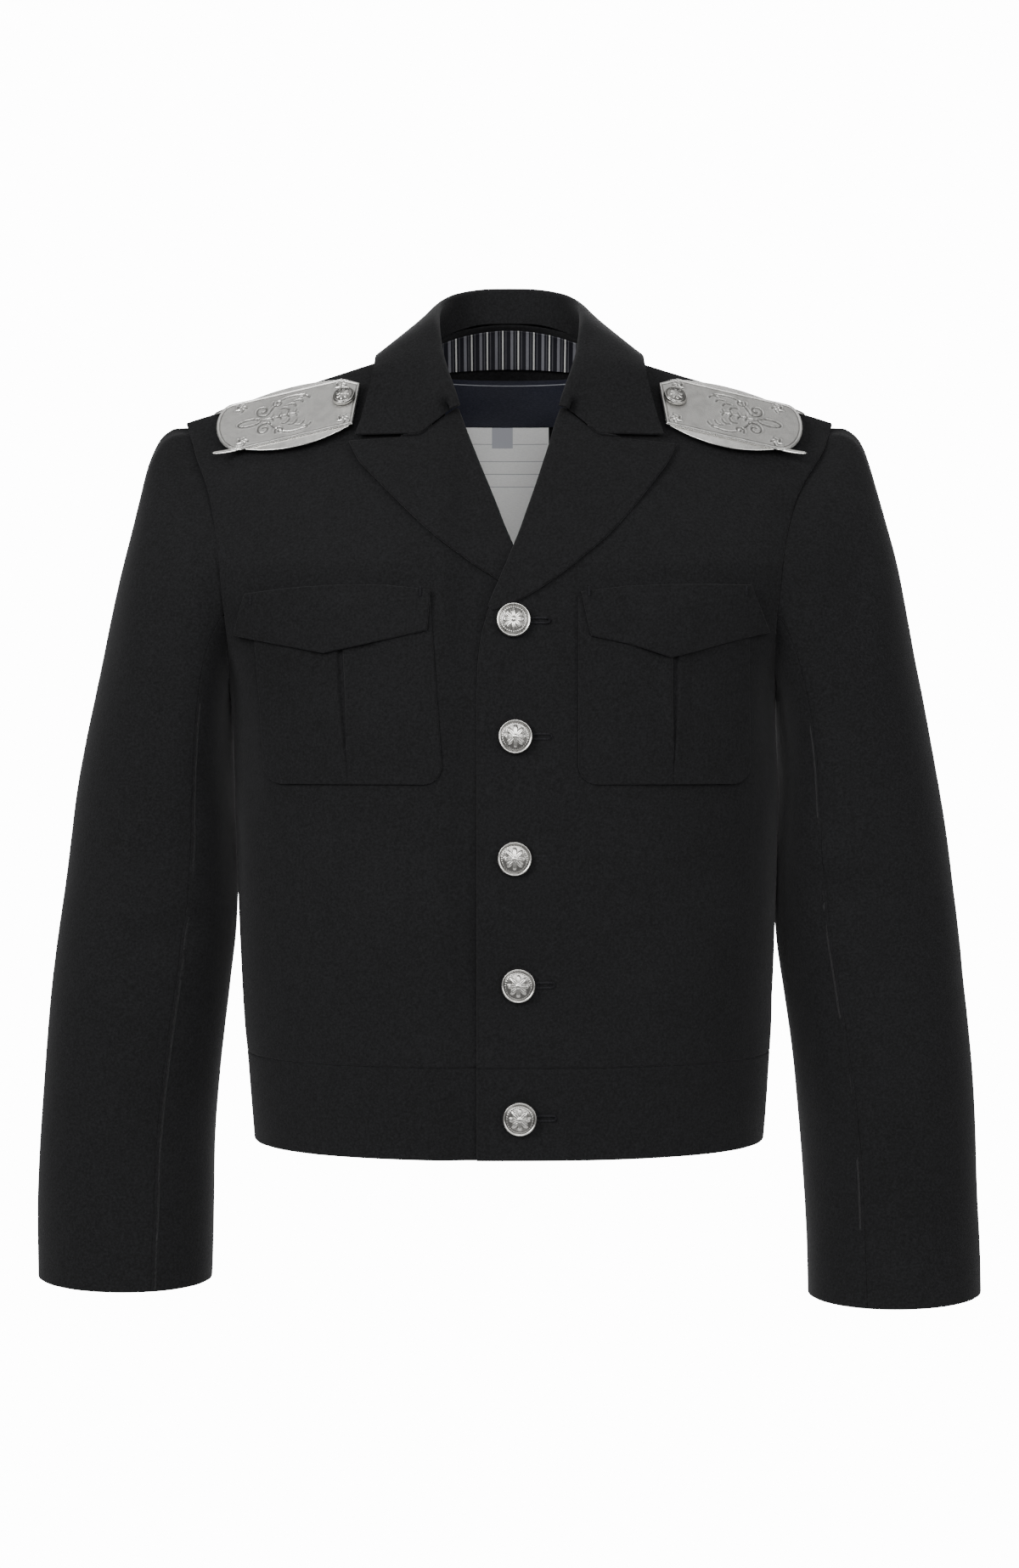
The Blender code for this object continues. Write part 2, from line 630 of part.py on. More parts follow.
def lapel_grid(side):
    """Rows from gorge to break point, columns from the return behind the roll to the edge."""
    table = np.asarray(LAPEL_RIGHT if side > 0 else LAPEL_LEFT, float)
    rows = []
    for index, (roll_x, roll_z, edge_x, edge_z) in enumerate(table):
        roll = np.array([roll_x, roll_z])
        edge = np.array([edge_x, edge_z])
        along = unit(edge - roll)
        fades = max(0.0, 1 - index / 2)
        line = []
        radius = (LEAF_OUT + 2 * WALL + RETURN_GAP) / 2
        level = LEAF_OUT - radius
        for distance in (radius + LAPEL_RETURN, radius + LAPEL_RETURN / 2):
            line.append((roll + along * distance, level - radius))
        for turn in np.linspace(-90, 90, 5):
            angle = math.radians(turn)
            line.append((roll + along * radius * (1 - math.cos(angle)), level + radius * math.sin(angle)))
        start = roll + along * radius
        kink = np.array(LAPEL_GORGE_KINK)
        straight = start + (edge - start) * 0.42
        for t in np.linspace(0, 1, LAPEL_LEAF_COLUMNS)[1:]:
            bend = fades * (1 - abs(t - 0.42) / (0.42 if t < 0.42 else 0.58))
            line.append((start + (edge - start) * t + (kink - straight) * bend, LEAF_OUT))
        x = np.array([point[0] for point, _ in line])
        z = np.array([point[1] for point, _ in line])
        out = np.array([level_out for _, level_out in line])
        rows.append(on_front(x * side, z, out, side))
    return np.array(rows)


def pocket_x(x, z, side):
    """A pocket's even columns brought to its own slanting edges."""
    edges = POCKET_EDGES_RIGHT if side > 0 else POCKET_EDGES_LEFT
    t = np.clip((z - POCKET_BOTTOM_Z) / (POCKET_TOP_Z - POCKET_BOTTOM_Z), 0, 1)
    inner = edges[1] + (edges[0] - edges[1]) * t
    outer = edges[3] + (edges[2] - edges[3]) * t
    return inner + (x - POCKET_INNER_X) / (POCKET_OUTER_X - POCKET_INNER_X) * (outer - inner)


def pocket_grid(side):
    """Rows from bottom to top, columns from inner to outer edge, with a slit pleat down the middle."""
    pleat = np.array([-PLEAT_REACH, -PLEAT_SLIT, 0.0, PLEAT_SLIT, PLEAT_REACH]) + PLEAT_X
    inner = np.linspace(POCKET_INNER_X, pleat[0], 5)[:-1]
    outer = np.linspace(pleat[-1], POCKET_OUTER_X, 5)[1:]
    columns = np.concatenate([inner, pleat, outer])
    middle = (POCKET_INNER_X + POCKET_OUTER_X) / 2
    half = (POCKET_OUTER_X - POCKET_INNER_X) / 2
    rises = POCKET_CORNER * np.array([0.0, 0.08, 0.3, 0.6, 1.0])
    heights = np.concatenate([POCKET_BOTTOM_Z + rises, np.linspace(POCKET_BOTTOM_Z + POCKET_CORNER, POCKET_TOP_Z, 8)[1:]])
    rows = []
    for z in heights:
        rise = min(z - POCKET_BOTTOM_Z, POCKET_CORNER)
        cut = POCKET_CORNER - math.sqrt(POCKET_CORNER**2 - (POCKET_CORNER - rise) ** 2)
        narrow = (half - cut) / half
        reach = np.abs(columns - middle) / half
        x = pocket_x(middle + (columns - middle) * (1 + (narrow - 1) * reach**3), z, side)
        rise_share = ease((z - POCKET_BOTTOM_Z) / 0.035) * ease((POCKET_TOP_Z - z) / 0.020)
        swell = 1 - ease((np.abs(columns - PLEAT_X) - PLEAT_SLIT) / (PLEAT_REACH - PLEAT_SLIT))
        swell[len(inner) + 2] = 0.0
        out = POCKET_OUT + PLEAT_RISE * swell * rise_share
        rows.append(on_front(x * side, np.full_like(x, z), out, side))
    return np.array(rows)


def flap_grid(side):
    table = np.asarray(FLAP_RIGHT if side > 0 else FLAP_LEFT)
    shares = np.linspace(0, len(table) - 1, FLAP_COLUMNS)
    top_x, top, bottom_x, bottom = (np.interp(shares, range(len(table)), column) for column in table.T)
    rows = []
    for t in np.linspace(0, 1, 6):
        x = bottom_x + (top_x - bottom_x) * t
        z = bottom + (top - bottom) * t
        bulge = FLAP_BULGE * (1 - ease((np.abs(x - PLEAT_X) - 0.006) / 0.030))
        out = FLAP_OUT + bulge * (1 - ease((t - 0.6) / 0.4))
        rows.append(on_front(x * side, z, out, side))
    return np.array(rows)


def facing_low(x):
    """Height of the facing's lower edge."""
    top = back_top(np.array(0.0))
    return top - FACING_TOP_GAP - FACING_HEIGHT - FACING_SAG * (top - back_top(x))


def facing_grid():
    """The striped facing inside the back of the neck, under the collar's seam."""
    x = FACING_HALF_X * np.sin(np.linspace(-math.pi / 2, math.pi / 2, 15))
    top = back_top(x) - FACING_TOP_GAP
    low = facing_low(x)
    return np.array([on_back(x, low + (top - low) * t, -(WALL + LABEL_GAP)) for t in np.linspace(0, 1, 6)])


def label_grid(box, rows):
    """A label below the facing, its top under the facing's lower edge."""
    low_x, high_x, low_z, high_z = box
    x = np.linspace(low_x, high_x, 9)
    high = np.minimum(high_z, facing_low(x) - LABEL_GAP)
    return np.array([
        on_back(x, low_z + (high - low_z) * t, -(WALL + LABEL_GAP)) for t in np.linspace(0, 1, rows)
    ])


def face_outwards(mesh):
    work = bmesh.new()
    work.from_mesh(mesh)
    bmesh.ops.recalc_face_normals(work, faces=work.faces)
    work.to_mesh(mesh)
    work.free()


def cloth_material(name, colour, roughness):
    material = bpy.data.materials.new(name)
    material.use_nodes = True
    shader = material.node_tree.nodes["Principled BSDF"]
    shader.inputs["Base Color"].default_value = (*colour, 1.0)
    shader.inputs["Roughness"].default_value = roughness
    return material


def metal_material(name, colour, roughness):
    material = cloth_material(name, colour, roughness)
    material.node_tree.nodes["Principled BSDF"].inputs["Metallic"].default_value = 1.0
    return material


def place(name, mesh, material, collection):
    mesh.materials.append(material)
    thing = bpy.data.objects.new(name, mesh)
    collection.objects.link(thing)
    return thing


def sheet(name, grid, wall, material, collection, flip=False):
    """A wall of cloth: the grid is its face, and its thickness goes inwards."""
    grid = leaned(grid)
    rows, columns = grid.shape[:2]
    faces = []
    for i in range(rows - 1):
        for j in range(columns - 1):
            corner = i * columns + j
            quad = [corner, corner + 1, corner + columns + 1, corner + columns]
            faces.append(quad[::-1] if flip else quad)
    mesh = bpy.data.meshes.new(name)
    mesh.from_pydata(grid.reshape(-1, 3).tolist(), [], faces)
    mesh.shade_smooth()
    thing = place(name, mesh, material, collection)
    solid = thing.modifiers.new("wall", "SOLIDIFY")
    solid.thickness = wall
    solid.offset = -1.0
    return thing


def turned_button(name, radius, material, collection):
    """A domed button with a raised rim, turned about its local Z."""
    points = [(fraction * radius, 0.0, height * radius) for fraction, height in BUTTON_PROFILE]
    edges = [(k, k + 1) for k in range(len(points) - 1)]
    mesh = bpy.data.meshes.new(name)
    mesh.from_pydata(points, edges, [])
    thing = place(name, mesh, material, collection)
    screw = thing.modifiers.new("turn", "SCREW")
    screw.steps = BUTTON_SIDES
    screw.render_steps = BUTTON_SIDES
    screw.use_merge_vertices = True
    screw.merge_threshold = 0.00001
    return thing


def stand_on(thing, point, normal):
    """Turn local Z to the normal and set the origin at the point."""
    thing.rotation_euler = Vector(normal).to_track_quat("Z", "Y").to_euler()
    thing.location = Vector(point)


def epaulette_frame(side):
    """The plate's middle, its right-handed axes u, v and n, and -1 where v runs up the slope, else 1."""
    reach = 0.04
    x = np.array([EPAULETTE_X - reach, EPAULETTE_X, EPAULETTE_X + reach])
    z = crest_z(x) - EPAULETTE_DOWN
    inner, middle, outer = on_front(x, z)
    lifted = on_front(x, z, 1.0)[1]
    slope = unit(outer - inner)
    n = unit(lifted - middle)
    n = unit(n - slope * np.dot(n, slope))
    up = unit(np.cross(n, slope))
    if up[2] < 0:
        up = -up
    u = slope * math.cos(EPAULETTE_TURN) + up * math.sin(EPAULETTE_TURN)
    down = slope * math.sin(EPAULETTE_TURN) - up * math.cos(EPAULETTE_TURN)
    mirror = np.array([side, 1, 1])
    origin = (middle + n * EPAULETTE_OUT) * mirror
    axes = np.array([u, down, n]) * mirror
    way = float(np.sign(np.linalg.det(axes)))
    axes[1] *= way
    return origin, axes, way


def plate_outline():
    """The plate's outline in u and v: a neck end with a point, and a rounded shoulder end."""
    points = [PLATE_NECK_POINT, (PLATE_NECK_FRONT, PLATE_HALF_WIDTH)]
    for t in np.linspace(0, 1, 11):
        end = PLATE_END_FRONT + (PLATE_END_BACK - PLATE_END_FRONT) * t
        bulge = PLATE_END_BULGE * math.sin(math.pi * t)
        points.append((end + bulge, PLATE_HALF_WIDTH * math.cos(math.pi * t)))
    points.append((PLATE_NECK_BACK, -PLATE_HALF_WIDTH))
    return np.array(points)


def base_outline():
    """The wider base under the plate, bowed at its sides, with a prong at each outer corner."""
    points = []
    for t in np.linspace(-1, 1, 9):
        points.append((t * BASE_REACH, BASE_HALF_WIDTH - BASE_SAG * t * t))
    corner = BASE_HALF_WIDTH - BASE_SAG
    tip = BASE_REACH + PRONG_LENGTH
    points += [(tip - 0.004, corner + 0.0035), (tip, corner + 0.0015), (tip - 0.002, corner - 0.0015)]
    points += [(BASE_REACH + 0.010, corner - PRONG_WIDTH), (BASE_REACH + 0.004, corner - 0.012)]
    other = [(u, -v) for u, v in points[::-1]]
    return np.array(points + other)


def outline_solid(name, outline, low, high, material, collection):
    """A flat outline between two heights, in the epaulette's own axes."""
    count = len(outline)
    points = [(u, v, low) for u, v in outline] + [(u, v, high) for u, v in outline]
    ring = range(count)
    faces = [tuple(ring), tuple(k + count for k in ring)]
    faces += [(k, (k + 1) % count, (k + 1) % count + count, k + count) for k in ring]
    mesh = bpy.data.meshes.new(name)
    mesh.from_pydata(points, [], faces)
    face_outwards(mesh)
    return place(name, mesh, material, collection)


def epaulette(side, names, material, collection, cutters):
    """A plate fused to its wider base, and the button that holds it."""
    origin, axes, way = epaulette_frame(side)
    turned = Matrix(axes.T.tolist()).to_4x4()
    turned.translation = Vector(origin)
    plate_low = BASE_THICK - PLATE_SUNK
    plate_high = plate_low + PLATE_THICK
    outline = plate_outline() * (1, way)
    plate = outline_solid(names[0], outline, plate_low, plate_high, material, collection)
    base = outline_solid(names[0] + "_base", base_outline(), 0.0, BASE_THICK, material, cutters)
    base.hide_render = True
    base.display_type = "WIRE"
    plate.matrix_world = turned
    base.matrix_world = turned
    join = plate.modifiers.new("base", "BOOLEAN")
    join.operation = "UNION"
    join.solver = "EXACT"
    join.object = base
    button = turned_button(names[1], SMALL_BUTTON_RADIUS, material, collection)
    across = axes[0] * EPAULETTE_BUTTON_U + axes[1] * EPAULETTE_BUTTON_V * way
    stand_on(button, origin + across + axes[2] * (plate_high + BUTTON_GAP), axes[2])


def clear_scene():
    for thing in list(bpy.data.objects):
        bpy.data.objects.remove(thing)


def main():
    clear_scene()
    jacket = bpy.data.collections.new("epaulette_jacket")
    cutters = bpy.data.collections.new("cutters")
    bpy.context.scene.collection.children.link(jacket)
    bpy.context.scene.collection.children.link(cutters)
    wool = cloth_material("black_wool", (0.012, 0.012, 0.014), 0.9)
    stripes = cloth_material("striped_facing", (0.10, 0.10, 0.11), 0.7)
    navy = cloth_material("dark_label", (0.010, 0.011, 0.022), 0.6)
    white = cloth_material("white_label", (0.75, 0.75, 0.74), 0.7)
    silver = metal_material("brushed_silver", (0.72, 0.71, 0.69), 0.32)

    for side, word in ((1, "right"), (-1, "left")):
        flip = side < 0
        front = trim(front_grid(side), HALF_SEAM, HALF_SEAM, 0.0, HALF_SEAM)
        sheet("front_" + word, front, WALL, wool, jacket, flip)
        band = trim(band_front_grid(side), 0.0, HALF_SEAM, 0.0, HALF_SEAM)
        sheet("waistband_" + word, band, WALL, wool, jacket, flip)
        sheet("sleeve_" + word + "_upper", sleeve_grid(side, True), WALL, wool, jacket, not flip)
        sheet("sleeve_" + word + "_under", sleeve_grid(side, False), WALL, wool, jacket, not flip)
        sheet("lapel_" + word, lapel_grid(side), WALL, wool, jacket, not flip)
        sheet("pocket_" + word, pocket_grid(side), PATCH_WALL, wool, jacket, flip)
        sheet("flap_" + word, flap_grid(side), PATCH_WALL, wool, jacket, flip)
        epaulette(side, ("epaulette_" + word, "epaulette_button_" + word), silver, jacket, cutters)

    back = trim(back_grid(), HALF_SEAM, HALF_SEAM, HALF_SEAM, HALF_SEAM)
    sheet("back", back, WALL, wool, jacket, True)
    band = trim(band_back_grid(), 0.0, HALF_SEAM, HALF_SEAM, HALF_SEAM)
    sheet("waistband_back", band, WALL, wool, jacket, True)
    sheet("collar", collar_grid(), WALL, wool, jacket, True)
    sheet("neck_facing", facing_grid(), LABEL_WALL, stripes, jacket, True)
    sheet("label_dark", label_grid(DARK_LABEL, 4), LABEL_WALL, navy, jacket, True)
    sheet("label_white", label_grid(WHITE_LABEL, 7), LABEL_WALL, white, jacket, True)

    for name, x, z in BUTTONS:
        button = turned_button(name, BUTTON_RADIUS, silver, jacket)
        face = on_front(np.array(x), np.array(z))
        lifted = on_front(np.array(x), np.array(z), 1.0)
        normal = lifted - face
        stand_on(button, face + normal * BUTTON_GAP, normal)


main()
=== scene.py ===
"""Looks of the cropped wool jacket with metal epaulettes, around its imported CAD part.

Metres, +Z up, the jacket faces -Y. "right" and "left" in names are the viewer's. The cloth pieces repeat the
part's forms at a finer pitch, with their creases, seams and turned edges.
"""

import math

import bpy
import numpy as np
from mathutils import Matrix, Vector


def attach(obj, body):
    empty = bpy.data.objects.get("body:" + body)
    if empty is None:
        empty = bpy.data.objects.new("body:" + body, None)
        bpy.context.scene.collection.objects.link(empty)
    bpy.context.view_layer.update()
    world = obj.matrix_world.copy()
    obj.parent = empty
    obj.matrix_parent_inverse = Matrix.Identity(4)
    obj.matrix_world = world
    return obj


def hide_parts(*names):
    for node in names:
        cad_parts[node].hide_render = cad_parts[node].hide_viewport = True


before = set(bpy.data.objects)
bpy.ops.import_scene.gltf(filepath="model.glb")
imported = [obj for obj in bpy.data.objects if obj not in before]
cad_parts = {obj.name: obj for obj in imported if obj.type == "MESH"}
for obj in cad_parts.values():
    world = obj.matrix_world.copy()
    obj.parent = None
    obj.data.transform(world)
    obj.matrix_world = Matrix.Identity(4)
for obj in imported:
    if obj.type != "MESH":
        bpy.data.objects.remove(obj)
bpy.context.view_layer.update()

SIDES = ((1, "right"), (-1, "left"))
UP = np.array([0.0, 0.0, 1.0])
TO_FRONT = np.array([0.0, -1.0, 0.0])

# Cloth
WALL = 0.0020  # wool cloth with its turned edges
PATCH_WALL = 0.0016  # pockets and flaps
LABEL_WALL = 0.0010
LABEL_GAP = 0.0018  # of facing and labels before the back's inside
HALF_SEAM = 0.00003  # how far a panel's edge is drawn in from its seam

# Heights of the torso
HEM_Z = -0.561
WAIST_Z = -0.497
ARMPIT_Z = -0.238
YOKE_Z = -0.150  # above it the cloth falls back to the shoulder crest
CREST_NECK_Z = 0.009
CREST_DROP = 0.050
NECK_X = 0.078
SHOULDER_X = 0.236
CREST_FLAT = 0.004
BACK_NECK_RISE = 0.034
BACK_NECK_DEPTH = 0.075

SLOPE_STEP = 0.0005  # over which a face's slope is measured
SECTION_POWER = 2.4
FRONT_FALL_POWER = 1.15
BACK_FALL_POWER = 1.5
NAPE_PASSES = 60  # of evening out the fold beside the neck
NAPE_REACH = 0.014
NECK_EDGE_UP = 0.0008  # the last row of the back's neck edge, above and before the one below it
NECK_EDGE_IN = 0.0002

# height, half width, front depth, back depth of the torso's sections
TORSO = (
    (-0.562, 0.1855, 0.128, 0.112),
    (-0.497, 0.1908, 0.130, 0.114),
    (-0.410, 0.1950, 0.132, 0.117),
    (-0.343, 0.1972, 0.131, 0.119),
    (-0.300, 0.1985, 0.130, 0.120),
    (-0.250, 0.1990, 0.1285, 0.1217),
    (-0.238, 0.1993, 0.128, 0.122),
    (-0.222, 0.2045, 0.127, 0.122),
    (-0.205, 0.2150, 0.126, 0.122),
    (-0.174, 0.2350, 0.122, 0.121),
    (-0.150, 0.2450, 0.118, 0.120),
    (-0.060, 0.2600, 0.118, 0.120),
    (0.060, 0.2600, 0.118, 0.120),
)

# height, armhole edge of the front, armhole edge of the back
ARMHOLE = (
    (-0.238, 0.1993, 0.1993),
    (-0.228, 0.1962, 0.1992),
    (-0.205, 0.1945, 0.2005),
    (-0.174, 0.1960, 0.2035),
    (-0.150, 0.1988, 0.2060),
    (-0.121, 0.2040, 0.2100),
    (-0.089, 0.2135, 0.2170),
    (-0.065, 0.2263, 0.2285),
    (-0.041, 0.2360, 0.2360),
)

# how far the panels hang over to the viewer's left, by height, and the distances from the centre
# over which this fades in and out
LEAN = (
    (-0.600, 0.0000),
    (-0.430, 0.0012),
    (-0.343, 0.0020),
    (-0.304, 0.0026),
    (-0.256, 0.0040),
    (-0.222, 0.0055),
    (-0.177, 0.0066),
    (-0.139, 0.0062),
    (-0.100, 0.0045),
    (-0.060, 0.0000),
)
LEAN_FROM = 0.100
LEAN_FULL = 0.180
LEAN_FADES = 0.225
LEAN_ENDS = 0.285

# height, inner edge of the upper front panel under the collar and lapel, and of the overlapping right front
NECK_EDGE = (
    (-0.240, -0.0225, -0.0225),
    (-0.215, -0.0214, -0.0214),
    (-0.203, -0.0198, -0.0198),
    (-0.189, -0.0165, -0.0165),
    (-0.177, -0.0125, -0.0125),
    (-0.166, -0.0070, -0.0060),
    (-0.145, 0.0065, 0.0065),
    (-0.127, 0.0128, 0.0120),
    (-0.096, 0.0234, 0.0225),
    (-0.064, 0.0345, 0.0315),
    (-0.042, 0.0445, 0.0410),
    (-0.026, 0.0530, 0.0500),
    (-0.008, 0.0610, 0.0610),
    (0.002, 0.0700, 0.0700),
    (0.009, 0.0780, 0.0780),
)
UNDER_EDGE_X = 0.0225  # how far the left front reaches past the centre, under the right one
UNDER_STEP = 0.0032  # how far it lies behind its own form there, and how much more above a height
UNDER_STEP_MORE = 0.0024
UNDER_STEP_Z = -0.240
UNDER_STEP_RISE = 0.040
UNDER_FROM_X = -0.050
UNDER_FADE = 0.022
BREAK_Z = YOKE_Z + 0.004  # below it the left front's edge widens into its underlap
BREAK_FALL = 0.030

TRUNK_STEP = 0.0045
YOKE_STEPS = 48
FRONT_COLUMNS = 84
BACK_NECK_COLUMNS = 26
BACK_SIDE_COLUMNS = 40
BAND_ROWS = 18
BAND_BACK_COLUMNS = 62  # from the centre to a side seam

# outer x, outer z, inner x, inner z, half depth, centre y, roundness of the outer and of the inner half
# of a sleeve's rings, from armhole to cuff
SLEEVE = (
    (0.2365, -0.0420, 0.2005, -0.2380, 0.0790, 0.0000, 2.2, 3.2),
    (0.2475, -0.0440, 0.2010, -0.2430, 0.0800, 0.0000, 2.2, 3.2),
    (0.2580, -0.0560, 0.2012, -0.2510, 0.0815, 0.0000, 2.2, 3.2),
    (0.2690, -0.0890, 0.2012, -0.2630, 0.0820, 0.0000, 2.2, 3.2),
    (0.2825, -0.1450, 0.2010, -0.2880, 0.0815, 0.0000, 2.2, 3.2),
    (0.2955, -0.2100, 0.2003, -0.3250, 0.0800, 0.0000, 2.2, 3.2),
    (0.3085, -0.2770, 0.1988, -0.3700, 0.0780, -0.0010, 2.2, 3.0),
    (0.3190, -0.3400, 0.1998, -0.4160, 0.0750, -0.0030, 2.2, 2.8),
    (0.3275, -0.4100, 0.2045, -0.4600, 0.0715, -0.0070, 2.2, 2.6),
    (0.3345, -0.4800, 0.2105, -0.5100, 0.0680, -0.0120, 2.1, 2.4),
    (0.3385, -0.5400, 0.2140, -0.5600, 0.0650, -0.0180, 2.1, 2.2),
    (0.3400, -0.6000, 0.2150, -0.6120, 0.0620, -0.0250, 2.0, 2.1),
    (0.3400, -0.6690, 0.2160, -0.6720, 0.0600, -0.0330, 2.0, 2.0),
)
SLEEVE_RINGS = 118
SLEEVE_BLEND_RINGS = 5
ARMHOLE_POWER = 2.2
SLEEVE_SEAM_FRONT = math.radians(-115)
SLEEVE_SEAM_BACK = math.radians(118)
SEAM_TURN = math.radians(2.5)  # a narrow column along each seam keeps the two walls' edges parallel
UPPER_SLEEVE_COLUMNS = 84
UNDER_SLEEVE_COLUMNS = 52
ALLOWANCE_DEPTH = 0.0024  # of the sleeve's seam allowance beneath the body's face
HEAD_STEP_TOP = 0.0025  # the body's shoulder end stands this far proud of the sleeve head
HEAD_STEP_UNDER = 0.0006
HEAD_STEP_FROM_Z = -0.130
HEAD_STEP_RISE = 0.070
HEAD_CLEARANCE = 0.0006  # between the sleeve's head and the armhole's plane
HEAD_ROUND_TOP = 0.006  # over which the head closes in to the crest, and to the armpit
HEAD_ROUND_LOW = 0.004
# rings of the seam allowance: how far in they lie, and share of its depth
ALLOWANCE = ((0.0060, 1.0), (0.0030, 1.0), (0.0010, 0.9))
LEFT_CUFF_LIFT = 0.012
LEFT_LIFT_FROM_Z = -0.250
LEFT_LIFT_FALL = 0.430

# seam x, y, z; fold x, y, z; edge x, y, z of the collar, from centre back to the gorge
COLLAR = (
    (0.0000, 0.0750, 0.0440, 0.0000, 0.0830, 0.0705, 0.0000, 0.1030, 0.0220),
    (0.0250, 0.0705, 0.0420, 0.0200, 0.0800, 0.0695, 0.0290, 0.0995, 0.0205),
    (0.0500, 0.0570, 0.0320, 0.0390, 0.0660, 0.0640, 0.0570, 0.0850, 0.0175),
    (0.0690, 0.0340, 0.0172, 0.0505, 0.0430, 0.0545, 0.0790, 0.0520, 0.0135),
    (0.0770, 0.0080, 0.0102, 0.0540, 0.0160, 0.0430, 0.0900, 0.0140, 0.0110),
    (0.0730, -0.0130, 0.0070, 0.0530, -0.0080, 0.0285, 0.0955, -0.0160, 0.0060),
    (0.0640, -0.0290, -0.0020, 0.0500, -0.0270, 0.0090, 0.0970, -0.0370, -0.0060),
    (0.0540, -0.0410, -0.0140, 0.0455, -0.0420, -0.0080, 0.1000, -0.0500, -0.0220),
    (0.0455, -0.0500, -0.0280, 0.0400, -0.0530, -0.0240, 0.1040, -0.0620, -0.0410),
    (0.0410, -0.0560, -0.0350, 0.0368, -0.0590, -0.0350, 0.1080, -0.0740, -0.0600),
)
# rows of the table from and over which the leaf comes to lie on the front, and its end to bend to the gorge
COLLAR_LIES_FROM = 6.0
COLLAR_LIES_OVER = 3.0
COLLAR_BENT_FROM = 8.25
COLLAR_BENT_OVER = 0.75
GORGE_LIFT = 0.0004
GORGE_SPLIT = 0.42  # share of the collar's end, and of the lapel's, that is sewn to the other
COLLAR_GORGE_KINK = (0.0635, -0.0580)
COLLAR_COLUMNS = 145
FOLD_STEPS = 9
STAND_POINTS = 14
LEAF_POINTS = 30
FOLD_RADIUS = 0.0033
LEAF_BULGE = 0.0015
LEAF_OUT = 0.0033  # a collar leaf's or lapel's face above the panel it lies on

# roll x, roll z, edge x, edge z of the lapels, from gorge to break point
LAPEL_RIGHT = (
    (0.0358, -0.0356, 0.1180, -0.0640),
    (0.0318, -0.0470, 0.1120, -0.0765),
    (0.0275, -0.0630, 0.1038, -0.0877),
    (0.0222, -0.0800, 0.0864, -0.1104),
    (0.0172, -0.0957, 0.0681, -0.1309),
    (0.0120, -0.1110, 0.0461, -0.1498),
    (0.0065, -0.1274, 0.0300, -0.1620),
    (0.0000, -0.1446, 0.0165, -0.1710),
    (-0.0070, -0.1610, 0.0060, -0.1765),
    (-0.0125, -0.1735, -0.0040, -0.1815),
    (-0.0152, -0.1800, -0.0120, -0.1835),
)
LAPEL_LEFT = (
    (0.0358, -0.0356, 0.1135, -0.0615),
    (0.0318, -0.0470, 0.1060, -0.0760),
    (0.0262, -0.0620, 0.0950, -0.0880),
    (0.0195, -0.0795, 0.0760, -0.1080),
    (0.0140, -0.0935, 0.0570, -0.1265),
    (0.0080, -0.1090, 0.0395, -0.1410),
    (0.0030, -0.1230, 0.0235, -0.1520),
    (-0.0020, -0.1360, 0.0125, -0.1590),
    (-0.0058, -0.1460, 0.0040, -0.1645),
    (-0.0090, -0.1540, -0.0050, -0.1670),
)
LAPEL_LOW_RADIUS = 0.0022  # of the roll where the two lapels cross
LAPEL_FADE = 0.0024  # how far the right lapel's leaf sinks towards its break point
# rows of the table: how many the gorge's kink reaches, and from and over which the lapels cross and fade
LAPEL_KINK_ROWS = 2
LAPEL_CROSSES_FROM = 5.5
LAPEL_CROSSES_OVER = 1.5
LAPEL_FADES_FROM = 7.5
LAPEL_FADES_OVER = 2.5
LAPEL_GORGE_KINK = (0.0635, -0.0586)
LAPEL_LEAF_COLUMNS = 40
LAPEL_ROWS = 80
LAPEL_RETURN = 0.0050  # how far the cloth goes on behind the roll
LAPEL_RETURN_FADE = 0.8
RETURN_GAP = 0.0011

# Pockets, by the viewer's right one
POCKET_INNER_X = 0.0450
POCKET_OUTER_X = 0.1720
# inner x at the top and bottom, outer x at the top and bottom of each pocket
POCKET_EDGES_RIGHT = (0.0470, 0.0470, 0.1735, 0.1706)
POCKET_EDGES_LEFT = (0.0545, 0.0455, 0.1720, 0.1684)
POCKET_TOP_Z = -0.174
POCKET_BOTTOM_Z = -0.3025
POCKET_CORNER = 0.014
POCKET_OUT = 0.0024
PLEAT_X = 0.1120
PLEAT_REACH = 0.014
PLEAT_SLIT = 0.0024
PLEAT_RISE = 0.0018
PLEAT_CLOSES_Z = -0.288
PLEAT_DEEPER = 0.0008
PLEAT_OPENS = 0.050  # heights over which the slit widens and deepens
PLEAT_DEEPENS = 0.020
POCKET_FLAT_LOW = 0.035  # the patch lies flat near its sewn bottom and its top
POCKET_FLAT_HIGH = 0.020
POCKET_PUFF = 0.0010
FLAP_LIFT = 0.0008
# top x, top z, bottom x, bottom z of the pocket flaps, from the inner to the outer end
FLAP_RIGHT = (
    (0.0489, -0.1707, 0.0553, -0.2010),
    (0.0800, -0.1668, 0.0825, -0.2065),
    (0.1080, -0.1653, 0.1096, -0.2150),
    (0.1410, -0.1645, 0.1475, -0.2055),
    (0.1730, -0.1640, 0.1865, -0.1952),
)
FLAP_LEFT = (
    (0.0541, -0.1695, 0.0560, -0.1972),
    (0.0850, -0.1660, 0.0900, -0.2045),
    (0.1180, -0.1655, 0.1244, -0.2116),
    (0.1470, -0.1670, 0.1545, -0.2050),
    (0.1762, -0.1700, 0.1850, -0.1975),
)
FLAP_COLUMNS = 121
FLAP_ROWS = 44
FLAP_OUT = 0.0048
FLAP_BULGE = 0.0024  # over the pleat
FLAP_BULGE_HALF = 0.006
FLAP_BULGE_FADE = 0.030

